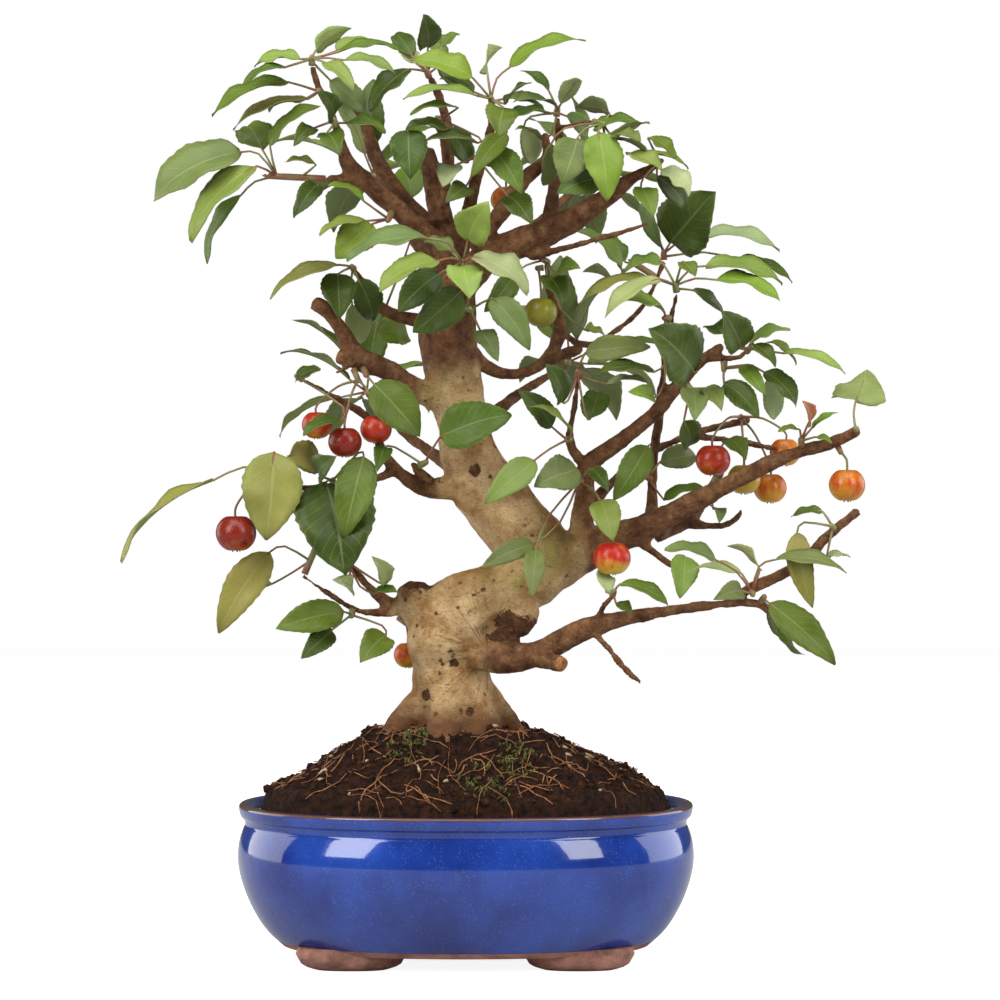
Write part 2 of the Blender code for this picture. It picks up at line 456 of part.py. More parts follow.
def colour_material(name, colour, roughness, metallic=0.0):
    """A plain material in one colour."""
    material = bpy.data.materials.new(name)
    material.use_nodes = True
    shader = material.node_tree.nodes["Principled BSDF"]
    shader.inputs["Base Color"].default_value = (*colour, 1.0)
    shader.inputs["Roughness"].default_value = roughness
    shader.inputs["Metallic"].default_value = metallic
    return material


def limb_path(limb):
    """A limb's points and radii in millimetres."""
    path = [seen(u, v, depth) for u, v, depth, _ in limb.points]
    radii = [radius * UNIT for *_, radius in limb.points]
    return path, radii


def directions(path):
    """The way a path runs at each of its points."""
    steps = [(b - a).normalized() for a, b in zip(path, path[1:])]
    ahead = [*steps, steps[-1]]
    behind = [steps[0], *steps]
    return [(a + b).normalized() for a, b in zip(ahead, behind)]


def tube(path, radii, sides, gnarl=0.0, grow=0.0):
    """A closed tapered tube along a path, with a flat root and a blunt tip, fatter all over by grow."""
    ways = directions(path)
    across = ways[0].orthogonal().normalized()
    points = []
    for index, (centre, way, radius) in enumerate(zip(path, ways, radii)):
        if index:
            across = ways[index - 1].rotation_difference(way) @ across
        across = (across - way * across.dot(way)).normalized()
        over = way.cross(across)
        if index == 0:
            centre = centre - way * grow
        for side in range(sides):
            turn = math.tau * side / sides
            lobes = math.sin(3 * turn + LOBE_TURN * index)
            lobes += SECOND_LOBE * math.sin(2 * turn - SECOND_TURN * index)
            reach = radius * (1 + gnarl * lobes) + grow
            points.append(centre + reach * (math.cos(turn) * across + math.sin(turn) * over))
    faces = [tuple(reversed(range(sides)))]
    for ring in range(len(path) - 1):
        for side in range(sides):
            beside = (side + 1) % sides
            low, high = ring * sides, (ring + 1) * sides
            faces.append((low + side, low + beside, high + beside, high + side))
    last = (len(path) - 1) * sides
    points.append(path[-1] + ways[-1] * (BLUNT_TIP * radii[-1] + grow))
    faces += [(last + side, last + (side + 1) % sides, len(points) - 1) for side in range(sides)]
    return Shell(points, faces)


def limb_shell(limb, grow=0.0):
    """A limb as one tube. The trunk and the roots have the lobes of old wood."""
    path, radii = limb_path(limb)
    return tube(path, radii, limb.sides, OLD_LOBES if limb.sides > THIN_SIDES else THIN_LOBES, grow)


def joined(shells):
    """Several shells as one list of points and faces."""
    points, faces = [], []
    for shell in shells:
        first = len(points)
        points += shell.points
        faces += [tuple(first + corner for corner in face) for face in shell.faces]
    return Shell(points, faces)


def tree_of(shell):
    """A shell as a search tree, which finds what crosses it and what lies nearest."""
    return BVHTree.FromPolygons(shell.points, shell.faces)


def stations_of(length):
    """Where a leaf's blade is given its width: at more places on a longer one."""
    if length < TINY_LEAF:
        return TINY_STATIONS
    return SMALL_STATIONS if length < SMALL_LEAF else STATIONS


def blade_shell(start, base, tip, width, face, wave, grow=0.0, stalked=True):
    """A leaf: a thin stalk from start to base, and a folded, arched, waved blade from base to tip."""
    along = (tip - base).normalized()
    upper = (face - along * face.dot(along)).normalized()
    side = along.cross(upper)
    length = (tip - base).length
    stalk = base - start
    thick = LEAF_THICKNESS / 2 + grow
    thin = PETIOLE_THICKNESS / 2 + grow
    rings = [(start, stalk.normalized(), 0.0, thin, thin)] if stalked else []
    if stalked and stalk.length > LONG_PETIOLE:
        bend = base - along * STALK_BEND * stalk.length
        elbow = (start + 2 * bend + base) / 4
        rings.append((elbow, stalk.normalized(), 0.0, thin, thin))
    rings.append((base, (stalk.normalized() + BLADE_PULL * along).normalized(), 0.0, thin, thin))
    for part, share in stations_of(length):
        centre = base + along * part * length + upper * 4 * part * (1 - part) * LEAF_ARCH * length
        half = share * width / 2 + grow
        rings.append((centre, along, LEAF_FOLD * half, half, thick))
    points = []
    for index, (centre, way, lift, half, deep) in enumerate(rings):
        turn = along.rotation_difference(way)
        right, top = turn @ side, turn @ upper
        ripple = wave * (1 if index % 2 else -1) if lift else 0.0
        points += [
            centre - right * half + top * (lift + ripple),
            centre + top * deep,
            centre + right * half + top * (lift - ripple),
            centre - top * deep,
        ]
    points.append(tip + along * grow)
    faces = [(0, 1, 2), (0, 2, 3)]
    for ring in range(len(rings) - 1):
        low, high = 4 * ring, 4 * ring + 4
        for edge, middle in ((0, 1), (2, 1), (2, 3), (0, 3)):
            faces.append((low + edge, low + middle, high + middle))
            faces.append((low + edge, high + middle, high + edge))
    last = 4 * (len(rings) - 1)
    faces += [(last + corner, last + (corner + 1) % 4, len(points) - 1) for corner in range(4)]
    return Shell(points, faces)


def fruit_shell(centre, radius, grow=0.0):
    """A crabapple: a ball a little flatter than round, dimpled at its stalk and drawn in at its eye."""
    points = [centre + Vector((0, 0, FRUIT_PROFILE[0][1] * radius + grow))]
    for out, height in FRUIT_PROFILE[1:-1]:
        for side in range(FRUIT_SIDES):
            turn = math.tau * side / FRUIT_SIDES
            level = height * radius + math.copysign(grow, height)
            reach = out * radius + grow
            points.append(centre + Vector((reach * math.cos(turn), reach * math.sin(turn), level)))
    points.append(centre + Vector((0, 0, FRUIT_PROFILE[-1][1] * radius - grow)))
    faces = []
    for side in range(FRUIT_SIDES):
        beside = (side + 1) % FRUIT_SIDES
        faces.append((0, 1 + side, 1 + beside))
        for ring in range(len(FRUIT_PROFILE) - 3):
            high, low = 1 + ring * FRUIT_SIDES, 1 + (ring + 1) * FRUIT_SIDES
            faces.append((high + side, low + side, low + beside, high + beside))
        low = 1 + (len(FRUIT_PROFILE) - 3) * FRUIT_SIDES
        faces.append((low + beside, low + side, len(points) - 1))
    return Shell(points, faces)


def crosses(tree, others):
    """Whether a shell's search tree meets any of the others."""
    return any(tree.overlap(other) for other in others)


def stem_at(tip, wood):
    """A stem from beside the wood to a tip, which is moved off the wood if it lies on or in it."""
    on_wood, facing, _, distance = wood.find_nearest(tip)
    inside = (tip - on_wood).dot(facing) < 0
    way = facing if inside or distance < ON_WOOD else (tip - on_wood).normalized()
    foot = on_wood + way * GAP
    if inside or distance < STUB_LENGTH:
        tip = on_wood + way * STUB_LENGTH
    return foot, tip


def stem_of(shoot, wood, blocked):
    """A shoot's stem: from beside the wood to the place drawn for it, or the nearest one that is free."""
    draw = random.Random(f"{SEED} {shoot.name} stem")
    for attempt in range(TRIES):
        stray = Vector((draw.gauss(0, 1), draw.gauss(0, 1), draw.gauss(0, 1))) * STRAY * attempt
        foot, tip = stem_at(seen(shoot.u, shoot.v, shoot.depth) + stray, wood)
        guard = tree_of(stem_shell(foot, tip, GAP))
        beside_wood = tree_of(stem_shell(foot, tip, GAP * WOOD_GAP_SHARE))
        if not crosses(guard, blocked) and not crosses(beside_wood, [wood]):
            return foot, tip, guard
    raise ValueError(f"{shoot.name} finds no room")


def nearest_on(foot, tip, place):
    """The point of a stem that is nearest to a place, kept inside the stem."""
    way = tip - foot
    share = (place - foot).dot(way) / way.length_squared
    return foot + way * min(max(share, STEM_SPAN[0]), STEM_SPAN[1])


def stem_shell(foot, tip, grow=0.0):
    """A shoot's short stem, from its foot beside the wood to its tip."""
    return tube([foot, tip], [SHOOT_RADIUS, SHOOT_RADIUS * STEM_TAPER], STEM_SIDES, 0.0, grow)


def drawn_blade(shoot, blade):
    """A drawn leaf's base and tip, its width and its facing. One seen end on is lengthened in depth."""
    base = seen(blade.u, blade.v, (shoot.depth + blade.tip_depth) / 2)
    tip = seen(blade.tip_u, blade.tip_v, blade.tip_depth)
    width = blade.width * UNIT * (SEEN_FLAT if blade.face == UP else SEEN_FULL)
    flat = Vector((tip.x - base.x, 0, tip.z - base.z)).length
    least = max(SHORTEST_LEAF, LEAF_STEEPNESS * width)
    if (tip - base).length < least and blade.face in (FRONT, BACK, LEFT, RIGHT):
        deeper = math.sqrt(max(least * least - flat * flat, 0.0))
        tip.y = base.y + math.copysign(deeper, tip.y - base.y)
    return base, tip, max(width, NARROWEST * (tip - base).length), blade.face


def spare_blade(shoot, foot, tip, index, draw):
    """A leaf that the front doesn't show, set round the shoot by the golden angle."""
    outward = (tip - foot).normalized()
    round_shoot = outward.orthogonal().normalized()
    round_shoot.rotate(Quaternion(outward, GOLDEN_ANGLE * index + shoot.u))
    way = (outward * draw.uniform(*SPARE_OUTWARD) + round_shoot + SPARE_LEAN).normalized()
    base = tip + way * draw.uniform(*SPARE_STALK)
    length = draw.uniform(*SPARE_LENGTH)
    droop = Vector((0, 0, -draw.uniform(*SPARE_DROOP)))
    end = base + (way + droop).normalized() * length
    roll = Vector((draw.uniform(-SPARE_ROLL, SPARE_ROLL), 0, 1))
    face = (roll + SPARE_TILT * way).normalized()
    return base, end, length * draw.uniform(*SPARE_WIDTH), face


def settled_leaf(foot, tip, wish, draw, blocked, own):
    """A leaf bent clear of what is round it: swung about its stem a little further at each try."""
    base, end, width, face = wish
    wave = RIPPLE * width * draw.choice((-1, 1))
    start = nearest_on(foot, tip, base)
    for attempt in range(TRIES):
        axis = Vector((draw.gauss(0, 1), draw.gauss(0, 1), draw.gauss(0, 1))).normalized()
        swing = Quaternion(axis, math.radians(SWING * attempt))
        new_base = start + swing @ (base - start)
        new_end = start + swing @ (end - start)
        pose = (start, new_base, new_end, width, swing @ face, wave)
        guard = tree_of(blade_shell(*pose, grow=GAP))
        blade = tree_of(blade_shell(*pose, grow=GAP, stalked=False))
        if not crosses(guard, blocked) and not crosses(blade, own):
            return pose, guard, blade
    return None, None, None


def placed_shoots(wood, blocked):
    """Every shoot's stem and leaves, with each leaf clear of the wood, the fruit and the other shoots."""
    placed, stems = [], {}
    for shoot in (*SHOOTS, *HIDDEN_SHOOTS):
        stems[shoot.name] = stem_of(shoot, wood, [*blocked, *(guard for *_, guard in stems.values())])
    taken = [wood, *blocked]
    for shoot in (*SHOOTS, *HIDDEN_SHOOTS):
        foot, tip, _ = stems[shoot.name]
        others = [guard for name, (*_, guard) in stems.items() if name != shoot.name]
        leaves, own, blades = [], [], []
        for index in range(len(shoot.blades) + shoot.spare):
            draw = random.Random(f"{SEED} {shoot.name} {index}")
            if index < len(shoot.blades):
                wish = drawn_blade(shoot, shoot.blades[index])
            else:
                wish = spare_blade(shoot, foot, tip, index, draw)
            pose, guard, blade = settled_leaf(foot, tip, wish, draw, taken + others, blades)
            if pose:
                leaves.append(pose)
                own.append(guard)
                blades.append(blade)
        taken += own
        placed.append((shoot, foot, tip, leaves))
    return placed


def oval(half_length, half_depth, height, sides):
    """A ring of the pot's rounded oval at one height, in millimetres."""
    ring = []
    for side in range(sides):
        turn = math.tau * (side + 0.5) / sides
        power = 2 / POT_ROUNDNESS
        x = math.copysign(abs(math.cos(turn)) ** power, math.cos(turn)) * half_length
        y = math.copysign(abs(math.sin(turn)) ** power, math.sin(turn)) * half_depth
        ring.append(Vector((POT_AT_X + x, y, height)))
    return ring


def lathe_like(rings):
    """A closed shell through rings of as many points each, with a flat face on the first and the last."""
    sides = len(rings[0])
    points = [point for ring in rings for point in ring]
    faces = [tuple(reversed(range(sides)))]
    for ring in range(len(rings) - 1):
        for side in range(sides):
            beside = (side + 1) % sides
            low, high = ring * sides, (ring + 1) * sides
            faces.append((low + side, low + beside, high + beside, high + side))
    last = (len(rings) - 1) * sides
    faces.append(tuple(range(last, last + sides)))
    return Shell(points, faces)


def pot_profile():
    """The pot's section as height and inset from its widest oval, up the outside and down the inside."""
    outside = (
        (FOOT_HEIGHT, 20.5), (14.0, 12.6), (25.0, 6.0), (36.0, 1.8), (45.0, 0.0), (54.0, 0.6), (60.5, 2.8),
        (62.0, 3.8), (64.8, 2.9), (65.8, 1.3), (POT_HEIGHT - 0.8, 0.5), (POT_HEIGHT, 1.4))
    inside = (
        (POT_HEIGHT, POT_LIP), (61.0, POT_LIP + 1.0), (44.0, POT_WALL + 0.5), (25.0, POT_WALL + 6.5),
        (FOOT_HEIGHT + POT_FLOOR, POT_WALL + 15.0))
    return outside, inside


def pot_shell():
    """The pot without its feet: one closed wall and floor."""
    outside, inside = pot_profile()
    return lathe_like([oval(POT_LENGTH / 2 - inset, POT_DEPTH / 2 - inset, height, POT_SIDES)
                       for height, inset in (*outside, *inside)])


def foot_shell(right, back):
    """One cloud-shaped foot, wider where it meets the pot."""
    rings = []
    for height, length, width in FOOT_PROFILE:
        ring = oval(FOOT_LENGTH / 2 * length, FOOT_WIDTH / 2 * width, height, FOOT_SIDES)
        rings.append([point + Vector((right * FOOT_AT[0], back * FOOT_AT[1], 0)) for point in ring])
    return lathe_like(rings)


def drain_shell(right):
    """The plug that cuts one drainage hole."""
    rings = []
    for height in (FOOT_HEIGHT - DRAIN_OVERLAP, FOOT_HEIGHT + POT_FLOOR + DRAIN_OVERLAP):
        turns = [math.tau * side / DRAIN_SIDES for side in range(DRAIN_SIDES)]
        centre = Vector((POT_AT_X + right * DRAIN_AT_X, 0, height))
        rings.append([centre + DRAIN_RADIUS * Vector((math.cos(turn), math.sin(turn), 0)) for turn in turns])
    return lathe_like(rings)


def soil_shell():
    """The soil: it fills the pot's inside and rises over the rim in a mound."""
    _, inside = pot_profile()
    rings = []
    for height, inset in inside[:0:-1]:
        gone = inset + SOIL_GAP
        level = height + (GAP if height == FOOT_HEIGHT + POT_FLOOR else 0)
        rings.append(oval(POT_LENGTH / 2 - gone, POT_DEPTH / 2 - gone, level, SOIL_SIDES))
    draw = random.Random(SEED)
    reach = (POT_LENGTH / 2 - SOIL_INSET, POT_DEPTH / 2 - SOIL_INSET)
    for share, height in MOUND:
        ring = oval(reach[0] * share, reach[1] * share, height, SOIL_SIDES)
        rough = 0.0 if height == SOIL_EDGE else SOIL_ROUGHNESS
        for point in ring:
            point.z += draw.uniform(-rough, rough)
            point.x += (1 - share) * SOIL_LEAN
        rings.append(ring)
    return lathe_like(rings)


def mesh_object(name, shell, material=None):
    """An object from a shell, in metres, with its faces turned out and split into triangles."""
    mesh = bpy.data.meshes.new(name)
    form = bmesh.new()
    corners = [form.verts.new(point * MM) for point in shell.points]
    for face in shell.faces:
        form.faces.new([corners[corner] for corner in face])
    bmesh.ops.recalc_face_normals(form, faces=form.faces)
    bmesh.ops.triangulate(form, faces=form.faces, quad_method="SHORT_EDGE")
    form.to_mesh(mesh)
    form.free()
    if material:
        mesh.materials.append(material)
    made = bpy.data.objects.new(name, mesh)
    bpy.context.scene.collection.objects.link(made)
    return made


def combine(base, shells, operation, solver="EXACT"):
    """Joins the shells to an object, or cuts them from it, with one Boolean, and removes them."""
    helpers = bpy.data.collections.new(f"{base.name} {operation.lower()}")
    bpy.context.scene.collection.children.link(helpers)
    for index, shell in enumerate(shells):
        helper = mesh_object(f"{base.name} helper {index}", shell)
        bpy.context.scene.collection.objects.unlink(helper)
        helpers.objects.link(helper)
    modifier = base.modifiers.new(operation, "BOOLEAN")
    modifier.operation = operation
    modifier.operand_type = "COLLECTION"
    modifier.collection = helpers
    modifier.solver = solver
    modifier.use_self = operation == "UNION"
    bpy.context.view_layer.objects.active = base
    bpy.ops.object.select_all(action="DESELECT")
    base.select_set(True)
    bpy.ops.object.modifier_apply(modifier=modifier.name)
    for helper in list(helpers.objects):
        bpy.data.objects.remove(helper)
    bpy.data.collections.remove(helpers)


def tidy(made):
    """Leaves an object's largest closed body, in triangles, with no stray scraps or needle-thin faces."""
    form = bmesh.new()
    form.from_mesh(made.data)
    bmesh.ops.remove_doubles(form, verts=form.verts, dist=WELD * MM)
    bmesh.ops.dissolve_degenerate(form, edges=form.edges, dist=WELD * MM)
    bmesh.ops.triangulate(form, faces=form.faces)
    form.faces.ensure_lookup_table()
    waiting, bodies = set(form.faces), []
    while waiting:
        body, edge = set(), [waiting.pop()]
        while edge:
            face = edge.pop()
            body.add(face)
            beside = {near for line in face.edges for near in line.link_faces} & waiting
            waiting -= beside
            edge += beside
        bodies.append(body)
    bodies.sort(key=len)
    scraps = [face for body in bodies[:-1] for face in body]
    bmesh.ops.delete(form, geom=scraps, context="FACES")
    loose = [point for point in form.verts if not point.link_faces]
    bmesh.ops.delete(form, geom=loose, context="VERTS")
    bmesh.ops.recalc_face_normals(form, faces=form.faces)
    form.to_mesh(made.data)
    form.free()
    made.data.set_sharp_from_angle(angle=math.radians(SMOOTH_UP_TO))


def sound(made):
    """Whether every edge of an object lies between exactly two faces."""
    form = bmesh.new()
    form.from_mesh(made.data)
    good = all(len(line.link_faces) == 2 for line in form.edges)
    form.free()
    return good


def fused(name, root, others, material):
    """One closed body of several shells. Where they only graze each other, they move or one is left out."""
    for attempt in range(FUSING_TRIES + 2 * len(others)):
        hair = HAIR * attempt
        left_out = (attempt - FUSING_TRIES) // 2
        kept = [shell for index, shell in enumerate(others) if index != left_out]
        shifted = [Shell([point + hair * (1 + index % 5) for point in shell.points], shell.faces)
                   for index, shell in enumerate(kept)]
        made = mesh_object(name, root, material)
        combine(made, shifted, "UNION", "MANIFOLD" if attempt % 2 else "EXACT")
        tidy(made)
        if sound(made) and len(made.data.polygons) > len(root.faces):
            return made
        bpy.data.objects.remove(made)
    raise ValueError(f"{name} doesn't fuse")


def build_pot():
    """The pot with its feet fused on and its drainage holes cut."""
    glaze = colour_material("cobalt glaze", (0.02, 0.045, 0.23), 0.12)
    pot = fused("pot", pot_shell(), [foot_shell(right, back) for right in (-1, 1) for back in (-1, 1)], glaze)
    combine(pot, [drain_shell(right) for right in (-1, 1)], "DIFFERENCE")
    tidy(pot)
    return pot


def build_soil():
    """The soil, with a plain hole where the foot of the tree stands in it."""
    soil = mesh_object("soil", soil_shell(), colour_material("dark soil", (0.035, 0.018, 0.01), 0.95))
    combine(soil, [limb_shell(limb, GAP) for limb in (TRUNK, *ROOTS)], "DIFFERENCE")
    tidy(soil)
    return soil


def build_tree():
    """The roots, trunk and every woody limb as one body."""
    bark = colour_material("bark", (0.48, 0.33, 0.19), 0.8)
    return fused("tree_wood", limb_shell(TRUNK), [limb_shell(limb) for limb in (*ROOTS, *LIMBS)], bark)


def placed_bunches(wood, blocked):
    """Every bunch's stem and fruit, each fruit moved in depth until it hangs free, and what they fill."""
    placed, taken = [], []
    for bunch in BUNCHES:
        foot, tip, guard = stem_of(bunch, wood, [*blocked, *taken])
        fruits, own = [], []
        for fruit in bunch.fruits:
            for attempt in range(TRIES):
                shift = (attempt // 2) * (1 if attempt % 2 else -1)
                centre = seen(fruit.u, fruit.v, fruit.depth + shift)
                radius = fruit.radius * UNIT
                ball = tree_of(fruit_shell(centre, radius, GAP))
                stalk = tree_of(stalk_shell(foot, tip, centre, radius, GAP))
                near = [wood, *blocked, *taken]
                if not crosses(ball, near) and not crosses(stalk, near) and not crosses(ball, own):
                    break
            fruits.append((centre, radius))
            own += [ball, stalk]
        taken += [guard, *own]
        placed.append((bunch, foot, tip, fruits))
    return placed, taken


def stalk_shell(foot, tip, centre, radius, grow=0.0):
    """A fruit's stalk: it leaves the stem and bends down into the fruit's dimple."""
    start = nearest_on(foot, tip, centre)
    end = centre + Vector((0, 0, STALK_END * radius))
    above = centre + Vector((0, 0, STALK_ABOVE * radius))
    middle = (start + above) / 2 + Vector((0, 0, STALK_RISE * (start - above).length))
    return tube([start, middle, above, end], STALK_RADII, STALK_SIDES, 0.0, grow)


def main():
    for old in list(bpy.data.objects):
        bpy.data.objects.remove(old)
    wood_shell = joined([limb_shell(limb) for limb in (TRUNK, *ROOTS, *LIMBS)])
    wood = tree_of(wood_shell)
    ground = [tree_of(pot_shell()), tree_of(soil_shell())]
    made = [build_pot(), build_soil(), build_tree()]
    bunches, hanging = placed_bunches(wood, ground)
    red = colour_material("crabapple skin", (0.6, 0.09, 0.035), 0.25)
    for bunch, foot, tip, fruits in bunches:
        parts = [fruit_shell(centre, radius) for centre, radius in fruits]
        parts += [stalk_shell(foot, tip, centre, radius) for centre, radius in fruits]
        made.append(fused(bunch.name, stem_shell(foot, tip), parts, red))
    for shoot, foot, tip, leaves in placed_shoots(wood, [*ground, *hanging]):
        tone = TONES.get(shoot.name, MIDDLE_TONE)
        green = colour_material(f"{shoot.name} leaf", tone, 0.5)
        blades = [blade_shell(*pose) for pose in leaves]
        made.append(fused(f"shoot_{shoot.name}", stem_shell(foot, tip), blades, green))
    stand_at_origin(made)


def stand_at_origin(made):
    """Parents every piece to one empty, which brings the middle of the object's base to the origin."""
    corners = [point.co for piece in made for point in piece.data.vertices]
    lowest = [min(corner[axis] for corner in corners) for axis in range(3)]
    highest = [max(corner[axis] for corner in corners) for axis in range(3)]
    base = bpy.data.objects.new("bonsai", None)
    bpy.context.scene.collection.objects.link(base)
    base.location = (-(lowest[0] + highest[0]) / 2, -(lowest[1] + highest[1]) / 2, -lowest[2])
    for piece in made:
        piece.parent = base


main()
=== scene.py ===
"""The looks of a crabapple bonsai, built round its solids.

The tree is drawn on its front picture, as its solids are: each limb, leaf and fruit has its place there and a
depth. The same rules then find the same poses for the leaves, and finer meshes follow them.
"""

import logging
import math
import random
from collections.abc import Iterable, Sequence
from dataclasses import dataclass
from enum import Enum
from typing import NamedTuple

import bmesh
import bpy
import numpy as np
from mathutils import Color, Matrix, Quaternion, Vector
from mathutils.bvhtree import BVHTree


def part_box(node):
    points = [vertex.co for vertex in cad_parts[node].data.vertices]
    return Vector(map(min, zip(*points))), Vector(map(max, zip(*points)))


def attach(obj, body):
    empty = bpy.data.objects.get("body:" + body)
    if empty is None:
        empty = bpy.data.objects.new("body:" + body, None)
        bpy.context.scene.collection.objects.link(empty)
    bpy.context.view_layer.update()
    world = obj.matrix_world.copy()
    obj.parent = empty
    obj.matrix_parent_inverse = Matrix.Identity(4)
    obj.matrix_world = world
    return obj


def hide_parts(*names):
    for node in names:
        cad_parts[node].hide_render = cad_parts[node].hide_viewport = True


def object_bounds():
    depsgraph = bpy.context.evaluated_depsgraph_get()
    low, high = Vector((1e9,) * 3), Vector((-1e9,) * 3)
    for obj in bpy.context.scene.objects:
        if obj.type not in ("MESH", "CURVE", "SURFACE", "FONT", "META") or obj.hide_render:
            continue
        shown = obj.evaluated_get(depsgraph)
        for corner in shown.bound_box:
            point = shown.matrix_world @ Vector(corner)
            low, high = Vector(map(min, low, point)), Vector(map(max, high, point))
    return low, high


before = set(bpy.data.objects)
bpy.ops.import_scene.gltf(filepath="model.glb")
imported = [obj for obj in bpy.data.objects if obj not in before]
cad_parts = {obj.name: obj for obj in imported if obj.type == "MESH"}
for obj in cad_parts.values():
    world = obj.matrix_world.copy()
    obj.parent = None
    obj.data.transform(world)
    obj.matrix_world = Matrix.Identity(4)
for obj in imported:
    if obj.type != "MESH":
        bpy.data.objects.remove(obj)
CAD_BOX = [list(corner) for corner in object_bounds()]
log = logging.getLogger("bonsai")

# Sizes in millimetres, shared with the solids.
MM = 0.001
POT_LENGTH = 209.6
POT_DEPTH = 156.0
POT_HEIGHT = 71.0
POT_AT_X = -15.6
POT_WALL = 6.5
POT_FLOOR = 7.0
POT_ROUNDNESS = 2.3
POT_SIDES = 32
FOOT_HEIGHT = 7.0
FOOT_LENGTH = 50.0
FOOT_WIDTH = 26.0
FOOT_AT = (51.0, 38.0)
SOIL_TOP = 107.0
SOIL_SIDES = 24
SOIL_LEAN = -6.0
SOIL_EDGE = 67.5
GAP = 0.35
LEAF_THICKNESS = 0.9
LEAF_FOLD = 0.22
PETIOLE_THICKNESS = 0.9
SHOOT_RADIUS = 1.5
STUB_LENGTH = 4.0
FRUIT_SIDES = 8
SEED = 11

# The front picture: one unit is 0.46 mm at the trunk's plane, and the viewer stands 1.45 m in front of it.
EYE_DISTANCE = 1450.0
EYE_HEIGHT = 210.0
UNIT = 0.46
PICTURE_MIDDLE = 500.0
PICTURE_UNITS = 1000.0
SENSOR = 36.0

UP = Vector((0.0, -0.45, 1.0))
FRONT = Vector((0.1, -1.0, 0.3))
BACK = Vector((0.0, 0.8, 0.6))
LEFT = Vector((-0.8, -0.6, 0.5))
RIGHT = Vector((0.8, -0.6, 0.5))

Triple = tuple[float, float, float]
Colour = Triple
Span = tuple[float, float]
Socket = bpy.types.NodeSocket
Piece = bpy.types.Object
Wish = tuple[Vector, Vector, float, Vector]


class Limb(NamedTuple):
    """A root or limb: its points are u, v, depth in millimetres and radius in picture units."""

    name: str
    points: tuple[tuple[float, float, float, float], ...]
    sides: int


class Blade(NamedTuple):
    """A leaf as the front shows it, from its base to its tip."""

    u: float
    v: float
    tip_u: float
    tip_v: float
    width: float
    face: Vector
    tip_depth: float


class Shoot(NamedTuple):
    """A leafy shoot: where its stem ends, its drawn leaves, and how many spare ones the rule adds."""

    name: str
    u: float
    v: float
    depth: float
    blades: tuple[Blade, ...]
    spare: int


class Fruit(NamedTuple):
    """One crabapple: its middle and its radius in picture units."""

    u: float
    v: float
    depth: float
    radius: float


class Bunch(NamedTuple):
    """A spur and the fruit that hangs from it."""

    name: str
    u: float
    v: float
    depth: float
    fruits: tuple[Fruit, ...]


class Shell(NamedTuple):
    """Points in millimetres, and the faces between them."""

    points: list[Vector]
    faces: list[tuple[int, ...]]

# Each limb's points are u, v, depth and radius in picture units, from its root to its end.
TRUNK = Limb("trunk", (
    (454, 775, 0, 54), (455, 735, 0, 52), (456, 712, 0, 46), (451, 688, 0, 40), (448, 662, 0, 38),
    (447, 638, -1, 44), (458, 615, -2, 41), (482, 601, -2, 32), (508, 592, -1, 29), (533, 574, 0, 36),
    (534, 549, 0, 37), (514, 527, 0, 34), (495, 502, 0, 33), (479, 478, 0, 32), (469, 452, 0, 29),
    (465, 425, 0, 26), (457, 395, 0, 28), (451, 365, 0, 27), (446, 335, 0, 29), (449, 305, 0, 27),
    (450, 278, 4, 20), (446, 245, 6, 14), (440, 212, 8, 12), (433, 175, 8, 11), (426, 150, 8, 9)), 10)

ROOTS = (
    Limb("left_root", ((440, 690, -2, 18), (408, 716, -8, 16), (388, 742, -14, 12), (370, 772, -20, 7)), 6),
    Limb("front_root", ((452, 700, -10, 20), (442, 738, -24, 17), (434, 778, -36, 9)), 6),
    Limb("right_root", ((475, 690, 2, 20), (505, 724, 4, 15), (530, 760, 6, 8)), 6),
    Limb("back_root", ((455, 700, 10, 20), (450, 738, 26, 15), (446, 778, 38, 8)), 6),
)

